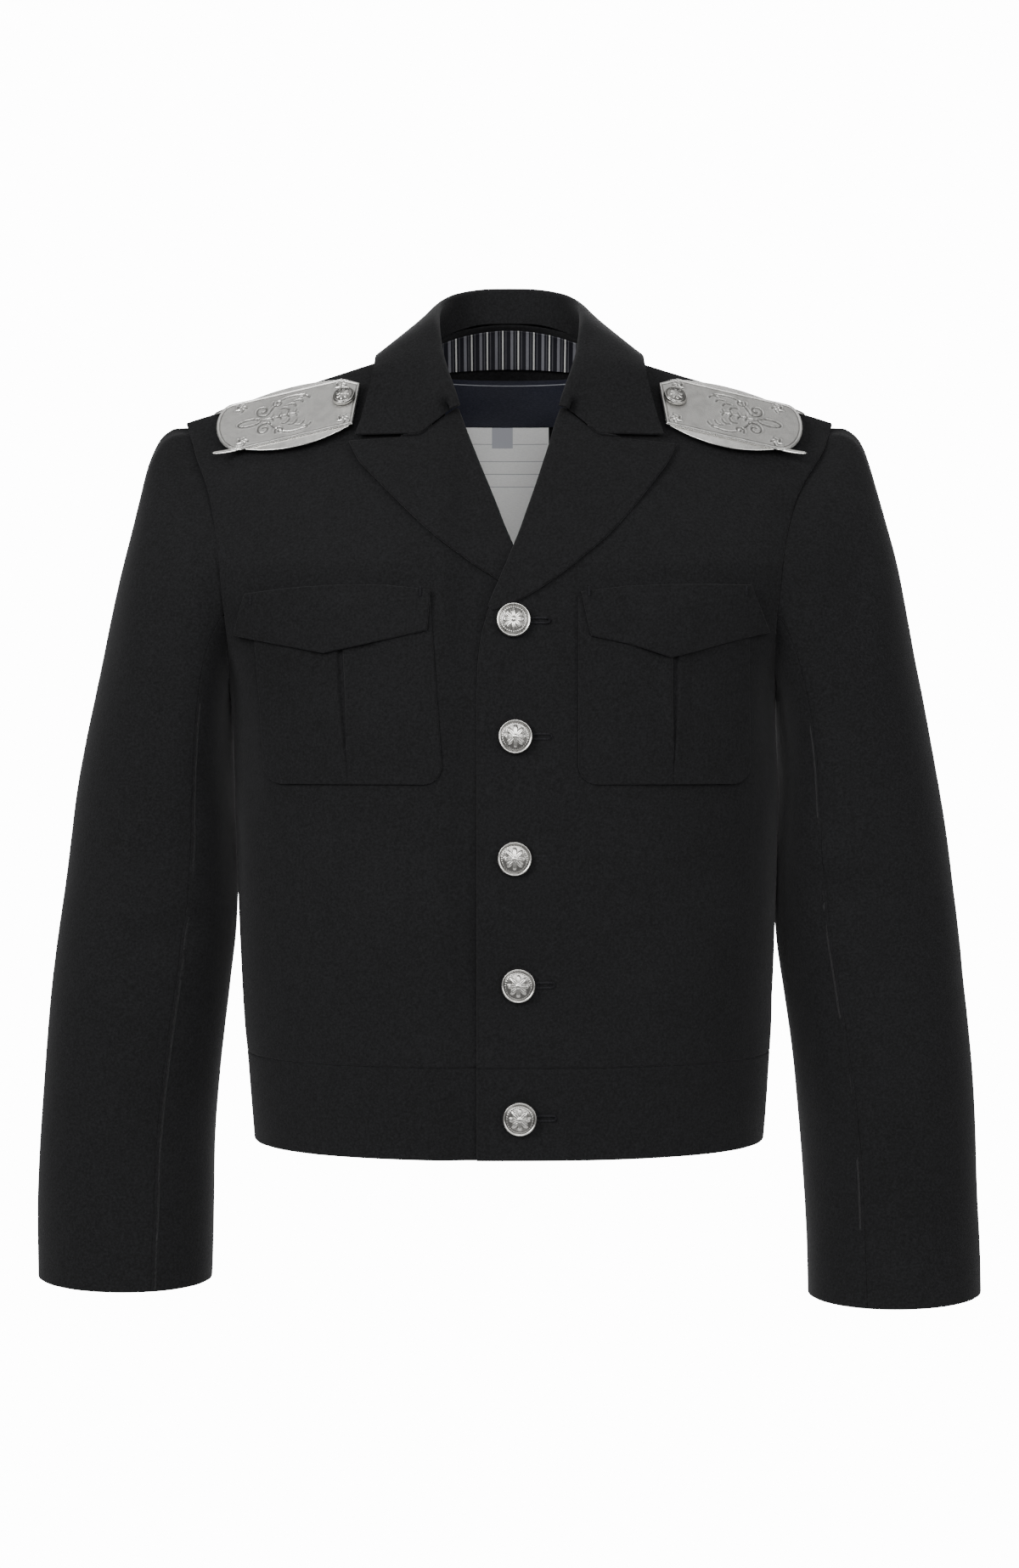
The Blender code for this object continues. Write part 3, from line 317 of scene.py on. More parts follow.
# name, x, z of the front buttons
BUTTONS = (
    ("button_1", 0.0028, -0.1900),
    ("button_2", 0.0040, -0.2695),
    ("button_3", 0.0035, -0.3530),
    ("button_4", 0.0060, -0.4395),
    ("button_5", 0.0070, -0.5310),
)
BUTTON_RADIUS = 0.0120
SMALL_BUTTON_RADIUS = 0.0087
BUTTON_GAP = 0.0004

# Facing and labels inside the neck
FACING_HALF_X = 0.0640
FACING_HEIGHT = 0.0290
FACING_SAG = 0.35  # how much of the neck's curve its lower edge follows
FACING_TOP_GAP = 0.0010
FACING_COLUMNS = 90
FACING_ROWS = 24
LABEL_COLUMNS = 60
LABEL_WAVE = 0.0003
DARK_LABEL = (-0.056, 0.046, -0.0300, 0.0045)  # low x, high x, low z, high z
WHITE_LABEL = (-0.042, 0.031, -0.1350, -0.0305)

# Epaulettes: u runs out along the shoulder from the neck end, v down its front slope
PLATE_HALF_WIDTH = 0.0252
PLATE_END_FRONT = 0.041  # u where the rounded end meets the front edge
PLATE_END_BACK = 0.047
PLATE_END_BULGE = 0.0150
PLATE_NECK_FRONT = -0.041  # u of the neck end's front corner
PLATE_NECK_POINT = (-0.049, -0.0160)
PLATE_NECK_BACK = -0.036
PLATE_THICK = 0.0016
BASE_THICK = 0.0012
PLATE_SUNK = 0.0004  # how far the plate goes into its base
BASE_REACH = 0.0400
BASE_HALF_WIDTH = 0.0335
BASE_SAG = 0.0090
BASE_FRONT_BOW = 0.0098
BASE_BACK_BOW = 0.0062
PRONG_WIDTH = 0.0050
PRONG_LENGTH = 0.022
PRONG_ROOT = 0.016  # how far a prong goes on over the base
PRONG_INSET = 0.0035
PRONG_SPLAY = 0.0040
PRONG_TAPER = 0.35
PRONG_UPTURN = 0.0038
PRONG_DOWNTURN = 0.0035
PRONG_TURNS = 0.45  # share of a prong's length where its tip starts to turn
PRONG_FLATNESS = 0.55
PRONG_SIDES = 20
EPAULETTE_X = 0.1526
EPAULETTE_DOWN = 0.0259
EPAULETTE_OUT = 0.0035
EPAULETTE_TURN = 0.1272  # radians its axis is turned up from the shoulder's slope
EPAULETTE_BUTTON_U = -0.0365
EPAULETTE_BUTTON_V = -0.0035

# Stripes, sewing and lines
STRIPE_REPEAT = 0.0118
BUTTONHOLE_START = 0.0112  # from a button's centre
BUTTONHOLE_LENGTH = 0.0135
BUTTONHOLE_WIDTH = 0.0034
THREAD_RIPPLE = 0.22
THREAD_FLATNESS = 0.7
THREAD_SIDES = 8
# corners of the bar tacks: x by the viewer's right pocket, z
TACKS_RIGHT = ((0.0543, -0.1705), (0.1690, -0.1680))
TACKS_LEFT = ((0.0606, -0.1705), (0.1715, -0.1740))
# low x, high x, low z, high z and tint of the bare tab and the ruled lines on the white label
WHITE_LABEL_LINES = (
    *((-0.0350, 0.0290, z, z + 0.0005, (0.40, 0.40, 0.42)) for z in (-0.0443, -0.0572, -0.0668, -0.0764)),
    (-0.0135, 0.0025, -0.0470, -0.0312, (0.46, 0.47, 0.52)),
)
# one light line of stitches along the dark label's top
DARK_LABEL_LINES = ((-0.0540, 0.0440, -0.0008, -0.0002, (0.30, 0.31, 0.34)),)

# Creases: start x, start z, end x, end z, sideways bend, half width, height. Fronts and sleeves in world x
FRONT_CREASES_RIGHT = (
    (0.228, -0.046, 0.213, -0.105, 0.004, 0.011, 0.0022),
    (0.205, -0.090, 0.180, -0.160, 0.010, 0.016, -0.0018),
    (0.060, -0.100, 0.150, -0.135, -0.008, 0.018, 0.0010),
    (0.185, -0.215, 0.176, -0.330, 0.004, 0.014, -0.0018),
    (0.150, -0.330, 0.060, -0.440, 0.012, 0.026, -0.0013),
    (0.030, -0.330, 0.060, -0.480, -0.010, 0.022, 0.0011),
    (0.120, -0.420, 0.168, -0.490, 0.006, 0.018, 0.0012),
    (0.022, -0.200, 0.038, -0.300, 0.004, 0.014, 0.0009),
)
FRONT_CREASES_LEFT = (
    (-0.228, -0.046, -0.214, -0.105, -0.004, 0.011, 0.0022),
    (-0.204, -0.095, -0.184, -0.165, -0.008, 0.016, -0.0017),
    (-0.150, -0.120, -0.075, -0.100, 0.008, 0.018, 0.0010),
    (-0.186, -0.220, -0.180, -0.340, -0.004, 0.013, -0.0018),
    (-0.160, -0.340, -0.080, -0.425, -0.012, 0.025, -0.0012),
    (-0.048, -0.320, -0.070, -0.470, 0.010, 0.022, 0.0011),
    (-0.110, -0.410, -0.170, -0.485, -0.006, 0.018, 0.0012),
    (-0.030, -0.230, -0.034, -0.420, 0.003, 0.011, -0.0009),
)
SLEEVE_CREASES_RIGHT = (
    (0.2435, -0.098, 0.2380, -0.215, 0.004, 0.011, -0.0024),
    (0.2700, -0.120, 0.2620, -0.260, -0.006, 0.017, 0.0015),
    (0.2060, -0.250, 0.2330, -0.360, -0.006, 0.012, -0.0018),
    (0.2040, -0.350, 0.2680, -0.345, -0.007, 0.014, 0.0016),
    (0.2080, -0.375, 0.2600, -0.392, 0.006, 0.012, -0.0020),
    (0.2240, -0.507, 0.2700, -0.530, 0.004, 0.012, -0.0019),
    (0.2300, -0.535, 0.3000, -0.540, -0.006, 0.016, 0.0012),
    (0.3050, -0.360, 0.2800, -0.450, -0.006, 0.020, -0.0012),
    (0.2600, -0.590, 0.3200, -0.650, 0.006, 0.020, 0.0010),
)
SLEEVE_CREASES_LEFT = (
    (-0.2450, -0.105, -0.2370, -0.225, -0.004, 0.012, -0.0022),
    (-0.2680, -0.110, -0.2660, -0.250, 0.006, 0.017, 0.0014),
    (-0.2080, -0.270, -0.2350, -0.345, 0.006, 0.012, -0.0017),
    (-0.2060, -0.385, -0.2660, -0.370, 0.007, 0.014, 0.0017),
    (-0.2120, -0.410, -0.2750, -0.425, -0.006, 0.012, -0.0020),
    (-0.3200, -0.470, -0.2600, -0.500, 0.008, 0.016, -0.0016),
    (-0.2400, -0.540, -0.3050, -0.530, 0.006, 0.018, 0.0013),
    (-0.2900, -0.300, -0.3000, -0.420, -0.006, 0.020, -0.0011),
    (-0.2700, -0.580, -0.3150, -0.640, -0.006, 0.020, 0.0010),
)
SLEEVE_CREASES_BACK = (
    (0.2480, -0.110, 0.2420, -0.230, 0.004, 0.012, -0.0020),
    (0.2850, -0.330, 0.2250, -0.350, 0.006, 0.014, -0.0022),
    (0.3000, -0.350, 0.2350, -0.380, 0.006, 0.015, 0.0018),
    (0.3050, -0.385, 0.2350, -0.405, 0.006, 0.013, -0.0020),
    (0.3120, -0.450, 0.2700, -0.560, -0.008, 0.020, 0.0012),
    (0.2400, -0.500, 0.2500, -0.620, 0.006, 0.016, -0.0012),
)
BACK_CREASES = (
    (-0.180, -0.110, -0.150, -0.240, 0.010, 0.018, -0.0022),
    (0.182, -0.115, 0.148, -0.250, -0.010, 0.018, -0.0021),
    (-0.090, -0.060, 0.085, -0.066, 0.010, 0.016, 0.0012),
    (-0.160, -0.260, -0.090, -0.420, 0.012, 0.026, 0.0018),
    (0.155, -0.270, 0.095, -0.430, -0.012, 0.026, 0.0017),
    (-0.030, -0.330, -0.045, -0.480, 0.008, 0.022, -0.0014),
    (0.040, -0.350, 0.050, -0.485, -0.008, 0.022, -0.0013),
    (-0.185, -0.330, -0.178, -0.470, 0.004, 0.014, -0.0016),
    (0.185, -0.340, 0.178, -0.475, -0.004, 0.014, -0.0016),
    (-0.060, -0.455, 0.070, -0.462, -0.006, 0.014, 0.0010),
)

# Soft waves of the panels: seeds, and height and length
FRONT_SEED, BACK_SEED, SLEEVE_SEED, BAND_SEED, BAND_BACK_SEED = 11, 5, 31, 3, 9
FRONT_WAVES = (0.0007, 0.16)
BACK_WAVES = (0.0009, 0.17)
SLEEVE_WAVES = (0.0010, 0.15)
BAND_WAVES = (0.0005, 0.12)
WAVE_COUNT = 7
SLEEVE_CALM_Z = -0.055  # above it a sleeve's head has no creases

# Cuts: width, length, and the area of a cut that isn't a rectangle
CUT_FRONT = (0.290, 0.530, 0.120)
CUT_BACK = (0.580, 0.560, 0.250)
CUT_BAND = (0.270, 0.066, None)
CUT_BAND_BACK = (0.450, 0.066, None)
CUT_SLEEVE_UPPER = (0.290, 0.660, 0.160)
CUT_SLEEVE_UNDER = (0.150, 0.480, 0.066)
CUT_COLLAR = (0.360, 0.110, 0.033)
CUT_LAPEL = (0.110, 0.175, 0.0110)
CUT_POCKET = (0.132, 0.131, None)
CUT_FLAP = (0.128, 0.045, None)
CUT_FACING = (0.150, 0.029, None)
CUT_DARK_LABEL = (0.103, 0.040, None)
CUT_WHITE_LABEL = (0.074, 0.103, None)

# Camera and light
# name, place, aim, width and height, and power in watts of the area lights
LIGHTS = (
    ("key", (-1.8, -2.0, 0.85), (0, 0, -0.22), (1.2, 1.6), 58.0),
    ("front", (0.1, -2.6, 0.60), (0, 0, -0.18), (1.2, 1.2), 34.0),
    ("fill", (1.9, -2.0, 0.3), (0, 0, -0.35), (1.4, 1.8), 25.0),
    ("top", (0.0, -0.3, 2.2), (0, 0, -0.2), (2.2, 1.4), 7.0),
    ("rear", (0.0, 2.4, 0.8), (0, 0, -0.3), (2.4, 1.6), 75.0),
)
WORLD_STRENGTH = 0.26
BACKGROUND_STRENGTH = 14.0
CAMERA_PLACE = (0.0, -1.9, -0.2731)
CAMERA_PITCH = -0.0163
LENS_MM = 59.5
SENSOR_MM = 36.0
FLOOR_Z = -1.25
FLOOR_RADIUS = 1.05


def smooth(table, column, at):
    """A column of a table between its rows, on cubic curves through them."""
    table = np.asarray(table, float)
    order = np.argsort(table[:, 0])
    keys = table[order, 0]
    values = table[order, column]
    slopes = np.gradient(values, keys)
    at = np.clip(np.asarray(at, float), keys[0], keys[-1])
    row = np.clip(np.searchsorted(keys, at) - 1, 0, len(keys) - 2)
    step = keys[row + 1] - keys[row]
    t = (at - keys[row]) / step
    rise = values[row + 1] - values[row]
    low = slopes[row] * step
    high = slopes[row + 1] * step
    return values[row] + t * low + t * t * (3 * rise - 2 * low - high) + t**3 * (low + high - 2 * rise)


def hump(value, centre, width, power=2):
    """1 at the centre, falling off on both sides."""
    return np.exp(-(((value - centre) / width) ** power))


def unit(vector):
    return vector / np.linalg.norm(vector, axis=-1, keepdims=True)


def ease(t):
    """0 below 0, 1 above 1, and smooth between."""
    t = np.clip(t, 0, 1)
    return t * t * (3 - 2 * t)


def leaned(points):
    """Points of the cloth moved over to the side it hangs to."""
    away = np.abs(points[..., 0])
    share = ease((away - LEAN_FROM) / (LEAN_FULL - LEAN_FROM))
    share = share * (1 - ease((away - LEAN_FADES) / (LEAN_ENDS - LEAN_FADES)))
    moved = np.array(points, float)
    moved[..., 0] -= smooth(LEAN, 1, points[..., 2]) * share
    return moved


def crest_z(x):
    """Height of the shoulder crest."""
    return CREST_NECK_Z - CREST_DROP * np.clip((np.abs(x) - NECK_X) / (SHOULDER_X - NECK_X), 0, 1.2)


def neck_round(x):
    """1 at the centre of the neck's ellipse, 0 from its side outwards."""
    return np.sqrt(np.clip(1 - (np.abs(x) / NECK_X) ** 2, 0, 1))


def section(x, z, column):
    """Depth of the superellipse through a height."""
    half_width = smooth(TORSO, 1, z)
    ratio = np.clip(np.abs(x) / half_width, 0, 1)
    return smooth(TORSO, column, z) * (1 - ratio**SECTION_POWER) ** (1 / SECTION_POWER)


def fall(h, power):
    return (1 - np.clip(h, 0, 1) ** power) ** (1 / power)


def under_drop(x, z, side):
    """How far the left front lies behind its own form, to pass under the right one."""
    if side > 0:
        return 0.0
    depth = UNDER_STEP + UNDER_STEP_MORE * ease((z - UNDER_STEP_Z) / UNDER_STEP_RISE)
    return depth * ease((x - UNDER_FROM_X) / UNDER_FADE)


def front_depth(x, z, side=1):
    """Distance of the front panels' face before the plane of the shoulders; x is the world's."""
    x = np.asarray(x, float)
    z = np.asarray(z, float)
    chest = section(x, np.minimum(z, YOKE_Z), 2)
    wide = section(x, np.maximum(z, YOKE_Z), 2)
    h = (z - YOKE_Z) / (crest_z(x) - YOKE_Z)
    yoke = CREST_FLAT + (wide - CREST_FLAT) * fall(h, FRONT_FALL_POWER)
    return np.where(z > YOKE_Z, yoke, chest) - under_drop(x, z, side)


def back_top(x):
    return crest_z(x) + BACK_NECK_RISE * neck_round(x) ** 1.5


def back_depth(x, z):
    """Distance of the back's face behind the plane of the shoulders."""
    x = np.asarray(x, float)
    z = np.asarray(z, float)
    chest = section(x, np.minimum(z, YOKE_Z), 3)
    wide = section(x, np.maximum(z, YOKE_Z), 3)
    top = CREST_FLAT + (BACK_NECK_DEPTH - CREST_FLAT) * neck_round(x)
    h = (z - YOKE_Z) / (back_top(x) - YOKE_Z)
    yoke = top + (wide - top) * fall(h, BACK_FALL_POWER)
    return np.where(z > YOKE_Z, yoke, chest)


def on_face(depth, facing, x, z, out):
    """Points on a face of the trunk at x and height z, moved out along its normal."""
    x = np.asarray(x, float)
    z = np.asarray(z, float)
    dx = (depth(x + SLOPE_STEP, z) - depth(x - SLOPE_STEP, z)) / (2 * SLOPE_STEP)
    dz = (depth(x, z + SLOPE_STEP) - depth(x, z - SLOPE_STEP)) / (2 * SLOPE_STEP)
    normal = unit(np.stack([-dx, facing * np.ones_like(dx), -dz], -1))
    points = np.stack(np.broadcast_arrays(x, facing * depth(x, z), z), -1)
    return points + normal * np.asarray(out)[..., None]


def on_front(x, z, out=0.0, side=1):
    """Points on a front's face at world x and height z, moved out along its normal."""
    return on_face(lambda x, z: front_depth(x, z, side), -1, x, z, out)


def on_back(x, z, out=0.0):
    """Points on the back's face, moved out along its normal."""
    return on_face(back_depth, 1, x, z, out)


def trim(grid, low_row=0.0, high_row=0.0, low_column=0.0, high_column=0.0):
    """The grid with its outer rows and columns drawn in by seam gaps."""
    grid = grid.copy()
    for edge, inner, gap in ((0, 1, low_row), (-1, -2, high_row)):
        grid[edge] += unit(grid[inner] - grid[edge]) * gap
    for edge, inner, gap in ((0, 1, low_column), (-1, -2, high_column)):
        grid[:, edge] += unit(grid[:, inner] - grid[:, edge]) * gap
    return grid


def spread(count, clustered):
    """Fractions from 0 to 1, drawn towards 1 by clustered."""
    t = np.linspace(0, 1, count)
    return (1 - clustered) * t + clustered * np.sin(t * math.pi / 2)


def row_heights():
    """Trunk rows as heights, and yoke rows as fractions of the way up to the crest."""
    count = int(round((YOKE_Z - WAIST_Z) / TRUNK_STEP))
    angles = np.linspace(0, math.pi / 2, YOKE_STEPS + 1)[1:]
    return tuple(np.linspace(WAIST_Z, YOKE_Z, count)[1:]), np.sin(angles) ** (2 / 1.4)


def armhole_edge(h, column):
    """x of a panel's armhole edge at a fraction h of the way up to the shoulder crest."""
    outer = SHOULDER_X
    for _ in range(4):
        outer_z = YOKE_Z + (crest_z(outer) - YOKE_Z) * h
        outer = float(smooth(ARMHOLE, column, outer_z))
    return outer


def both_halves(right):
    """Rows of points from the centre outwards, after their mirror image."""
    left = right[:, :0:-1].copy()
    left[..., 0] *= -1
    return np.concatenate([left, right], axis=1)


def side_cluster(z):
    """How far a row's columns are drawn together at the side seam: 1 below the armpit, 0 on the yoke."""
    return float(1 - ease((z - ARMPIT_Z) / (YOKE_Z - ARMPIT_Z)))


def front_grid(side):
    """Rows from waist seam to shoulder seam, columns from front edge to side seam and armhole."""
    rows = []
    edge_column = 2 if side > 0 else 1
    heights, fractions = row_heights()

    def inner_edge(z):
        if side < 0 and z < BREAK_Z:
            over = ease((BREAK_Z - z) / BREAK_FALL)
            return float(smooth(NECK_EDGE, 1, BREAK_Z) * (1 - over) - UNDER_EDGE_X * over)
        return float(smooth(NECK_EDGE, edge_column, z))

    for z in (WAIST_Z,) + heights:
        outer = smooth(TORSO, 1, z) if z <= ARMPIT_Z else smooth(ARMHOLE, 1, z)
        x = inner_edge(z) + (outer - inner_edge(z)) * spread(FRONT_COLUMNS, side_cluster(z))
        points = on_front(x * side, np.full_like(x, z), 0.0, side)
        if z <= ARMPIT_Z:
            points[-1] = (outer * side, 0.0, z)
        rows.append(points)
    for h in fractions:
        inner_z = YOKE_Z + (CREST_NECK_Z - YOKE_Z) * h
        outer = armhole_edge(h, 1)
        inner = inner_edge(inner_z)
        x = inner + (outer - inner) * spread(FRONT_COLUMNS, 0.0)
        z = YOKE_Z + (crest_z(x) - YOKE_Z) * h
        y = -front_depth(x * side, z, side)
        rows.append(np.stack([x * side, y, z], -1))
    crest = rows[-1].copy()
    crest[:, 1] = 0.0
    rows.append(crest)
    return np.array(rows)


def back_grid():
    """Rows from waist seam to shoulder and neck seams, columns from the wearer's right to left."""
    neck_share = NECK_X / SHOULDER_X
    turn = np.linspace(0, math.pi / 2, BACK_NECK_COLUMNS + 1)
    fractions = np.concatenate([
        np.sin(turn) * neck_share,
        np.linspace(neck_share, 1, BACK_SIDE_COLUMNS + 1)[1:],
    ])
    rows = []
    heights, steps = row_heights()
    for z in (WAIST_Z,) + heights:
        outer = smooth(TORSO, 1, z) if z <= ARMPIT_Z else smooth(ARMHOLE, 2, z)
        cluster = side_cluster(z)
        x = outer * ((1 - cluster) * fractions + cluster * np.sin(fractions * math.pi / 2))
        points = on_back(x, np.full_like(x, z))
        if z <= ARMPIT_Z:
            points[-1] = (outer, 0.0, z)
        rows.append(points)
    for h in steps:
        x = armhole_edge(h, 2) * fractions
        z = YOKE_Z + (back_top(x) - YOKE_Z) * h
        rows.append(np.stack([x, back_depth(x, z), z], -1))
    crest = rows[-1].copy()
    crest[:, 1] = BACK_NECK_DEPTH * neck_round(crest[:, 0])
    inside_neck = crest[:, 0] < NECK_X - 0.001
    crest[inside_neck, 2] += NECK_EDGE_UP
    crest[inside_neck, 1] = rows[-1][inside_neck, 1] - NECK_EDGE_IN
    rows.append(crest)
    grid = both_halves(np.array(rows))
    even = grid.copy()
    for _ in range(NAPE_PASSES):
        even[:, 1:-1] = (even[:, :-2] + 2 * even[:, 1:-1] + even[:, 2:]) / 4
    x, z = grid[..., 0], grid[..., 2]
    beside_neck = 1 - ease((np.abs(np.abs(x) - NECK_X) - NAPE_REACH) / NAPE_REACH)
    height = (z - YOKE_Z) / (back_top(x) - YOKE_Z)
    share = beside_neck * ease(height / 0.25) * (1 - ease((height - 0.90) / 0.09))
    return grid + (even - grid) * share[..., None]


def band_front_grid(side):
    inner = -UNDER_EDGE_X
    rows = []
    for z in np.linspace(HEM_Z, WAIST_Z, BAND_ROWS):
        outer = float(smooth(TORSO, 1, z))
        x = inner + (outer - inner) * spread(FRONT_COLUMNS, 1.0)
        points = on_front(x * side, np.full_like(x, z), 0.0, side)
        points[-1] = (outer * side, 0.0, z)
        rows.append(points)
    return np.array(rows)


def band_back_grid():
    rows = []
    for z in np.linspace(HEM_Z, WAIST_Z, BAND_ROWS):
        outer = float(smooth(TORSO, 1, z))
        x = outer * np.sin(np.linspace(0, math.pi / 2, BAND_BACK_COLUMNS))
        points = on_back(x, np.full_like(x, z))
        points[-1] = (outer, 0.0, z)
        rows.append(points)
    return both_halves(np.array(rows))


def signed_power(value, power):
    return np.sign(value) * np.abs(value) ** power


def stations_of(table, count):
    """A table's rows read between its rows, at count even steps, each with its place in the table."""
    rows = np.asarray(table, float)
    keyed = np.concatenate([np.arange(len(rows))[:, None], rows], axis=1)
    places = np.linspace(0, len(rows) - 1, count)
    values = np.stack([smooth(keyed, k + 1, places) for k in range(rows.shape[1])], -1)
    return places, values


def head_step(z):
    """How far the body stands proud of the sleeve head at a height."""
    return HEAD_STEP_UNDER + (HEAD_STEP_TOP - HEAD_STEP_UNDER) * ease((z - HEAD_STEP_FROM_Z) / HEAD_STEP_RISE)


def sleeve_rings(angles, side):
    """Points of a sleeve's rings at angles from its outer line, negative to the front."""
    c = np.cos(angles)
    s = np.sin(angles)
    rings = []
    places, rows = stations_of(SLEEVE, SLEEVE_RINGS)
    for outer_x, outer_z, inner_x, inner_z, depth, centre_y, outer_power, inner_power in rows:
        power = np.where(c > 0, outer_power, inner_power)
        across = signed_power(c, 2 / power)
        middle_x = (outer_x + inner_x) / 2
        middle_z = (outer_z + inner_z) / 2
        x = middle_x + (outer_x - inner_x) / 2 * across
        z = middle_z + (outer_z - inner_z) / 2 * across
        y = centre_y + depth * signed_power(s, 2 / power)
        rings.append(np.stack([x, y, z], -1))
    rings = np.array(rings)
    top = float(crest_z(SHOULDER_X))
    middle_z = (top + ARMPIT_Z) / 2
    z = middle_z + (top - ARMPIT_Z) / 2 * signed_power(c, 2 / ARMHOLE_POWER)
    front_x = smooth(ARMHOLE, 1, z)
    back_x = smooth(ARMHOLE, 2, z)
    x = np.where(s < 0, front_x, back_x)
    y = np.where(s < 0, -front_depth(front_x, z), back_depth(back_x, z))
    near_crest = np.clip((top - z) / HEAD_ROUND_TOP, 0, 1)
    near_armpit = np.clip((z - ARMPIT_Z) / HEAD_ROUND_LOW, 0, 1)
    y = y * near_crest * near_armpit
    head = np.stack([x, y, z], -1)
    head -= unit(np.stack([np.zeros_like(y), y, z - middle_z], -1)) * head_step(z)[:, None]
    head[:, 0] += HEAD_CLEARANCE
    miss = head - rings[0]
    for k, place in enumerate(places):
        rings[k] += miss * float(1 - ease(place / SLEEVE_BLEND_RINGS))
    if side < 0:
        below = np.clip((LEFT_LIFT_FROM_Z - rings[..., 2]) / LEFT_LIFT_FALL, 0, 1)
        rings[..., 2] += LEFT_CUFF_LIFT * below
    rings[..., 0] *= side
    return rings


def sleeve_grid(side, upper):
    start, end, count = SLEEVE_SEAM_FRONT, SLEEVE_SEAM_BACK, UPPER_SLEEVE_COLUMNS
    if not upper:
        start, end, count = SLEEVE_SEAM_BACK, SLEEVE_SEAM_FRONT + 2 * math.pi, UNDER_SLEEVE_COLUMNS
    angles = np.linspace(start, end, count)
    angles = np.concatenate([[start], [start + SEAM_TURN], angles[1:-1], [end - SEAM_TURN], [end]])
    grid = sleeve_rings(angles, side)
    away = unit((grid[0] - grid[0].mean(axis=0)) * (0.0, 1.0, 1.0))
    inset = np.clip(ALLOWANCE_DEPTH - head_step(grid[0, :, 2]), 0.0002, 1)[:, None]
    tucked = [grid[0] + (-side * inwards, 0.0, 0.0) - away * inset * share for inwards, share in ALLOWANCE]
    grid = np.concatenate([tucked, grid])
    return trim(grid, low_column=HALF_SEAM, high_column=HALF_SEAM)


def folded_profile(seam, fold, edge):
    """One section of the collar from its seam up to its fold and down to its edge, as points of its face."""
    stand = unit(seam - fold)
    leaf = unit(edge - fold)
    inside = unit(stand + leaf)
    across = unit(leaf - stand)
    points = []
    start = fold + inside * FOLD_RADIUS - across * FOLD_RADIUS
    for t in np.linspace(0, 1, STAND_POINTS)[:-1]:
        points.append(seam + (start - seam) * t)
    for turn in np.linspace(-90, 90, FOLD_STEPS):
        angle = math.radians(turn)
        turned = inside * (1 - math.cos(angle)) + across * math.sin(angle)
        points.append(fold + turned * FOLD_RADIUS)
    end = points[-1]
    normal = unit(-inside + across * float(np.dot(inside, leaf) / max(np.dot(across, leaf), 0.2)))
    for t in np.linspace(0, 1, LEAF_POINTS)[1:]:
        points.append(end + (edge - end) * t + normal * LEAF_BULGE * math.sin(math.pi * t))
    return np.array(points)


def collar_grid():
    """Rows along the section from neck seam to leaf edge, columns around the neck."""
    half = (COLLAR_COLUMNS - 1) // 2
    places, rows = stations_of(COLLAR, half + 1)
    leaf = np.arange(STAND_POINTS - 1 + FOLD_STEPS, STAND_POINTS - 1 + FOLD_STEPS + LEAF_POINTS - 1)
    reach = np.linspace(0, 1, len(leaf))
    kink = np.array(COLLAR_GORGE_KINK)
    columns = []
    for place, row in zip(places, rows):
        profile = folded_profile(row[:3], row[3:6], row[6:])
        front = ease((place - COLLAR_LIES_FROM) / COLLAR_LIES_OVER)
        if front > 0:
            lying = on_front(profile[leaf, 0], profile[leaf, 2], LEAF_OUT)
            share = (front * reach**0.5)[:, None]
            profile[leaf] = profile[leaf] * (1 - share) + lying * share
        gorge = np.clip((place - COLLAR_BENT_FROM) / COLLAR_BENT_OVER, 0, 1)
        if gorge > 0:
            start, end = profile[leaf[0] - 1, [0, 2]], profile[-1, [0, 2]]
            x = np.interp(reach, (0, GORGE_SPLIT, 1), (start[0], kink[0], end[0]))
            z = np.interp(reach, (0, GORGE_SPLIT, 1), (start[1], kink[1], end[1]))
            bent = on_front(x, z, LEAF_OUT + GORGE_LIFT)
            profile[leaf] = profile[leaf] * (1 - gorge) + bent * gorge
        columns.append(profile)
    return both_halves(np.array(columns).transpose(1, 0, 2))


def lapel_grid(side):
    """Rows from gorge to break point, columns from the return behind the roll to the edge."""
    places, table = stations_of(LAPEL_RIGHT if side > 0 else LAPEL_LEFT, LAPEL_ROWS)
    high_radius = (LEAF_OUT + 2 * WALL + RETURN_GAP) / 2
    kink = np.array(LAPEL_GORGE_KINK)
    rows = []
    for place, (roll_x, roll_z, edge_x, edge_z) in zip(places, table):
        roll = np.array([roll_x, roll_z])
        edge = np.array([edge_x, edge_z])
        along = unit(edge - roll)
        fades = max(0.0, 1 - place / LAPEL_KINK_ROWS)
        low = float(ease((place - LAPEL_CROSSES_FROM) / LAPEL_CROSSES_OVER))
        radius = high_radius + (LAPEL_LOW_RADIUS - high_radius) * low
        sunk = LAPEL_FADE * float(ease((place - LAPEL_FADES_FROM) / LAPEL_FADES_OVER)) if side > 0 else 0.0
        leaf_out = LEAF_OUT - sunk
        level = leaf_out - radius
        tail = LAPEL_RETURN * (1 - LAPEL_RETURN_FADE * low)
        line = [(roll + along * (radius + tail * t), level - radius) for t in (1.0, 0.75, 0.5, 0.25)]
        for turn in np.linspace(-90, 90, FOLD_STEPS):
            angle = math.radians(turn)
            line.append((roll + along * radius * (1 - math.cos(angle)), level + radius * math.sin(angle)))
        start = roll + along * radius
        straight = start + (edge - start) * GORGE_SPLIT
        for t in np.linspace(0, 1, LAPEL_LEAF_COLUMNS)[1:]:
            side_of_kink = GORGE_SPLIT if t < GORGE_SPLIT else 1 - GORGE_SPLIT
            bend = fades * (1 - abs(t - GORGE_SPLIT) / side_of_kink)
            line.append((start + (edge - start) * t + (kink - straight) * bend, leaf_out))
        x = np.array([point[0] for point, _ in line])
        z = np.array([point[1] for point, _ in line])
        out = np.array([level_out for _, level_out in line])
        rows.append(on_front(x * side, z, out, side))
    return np.array(rows)


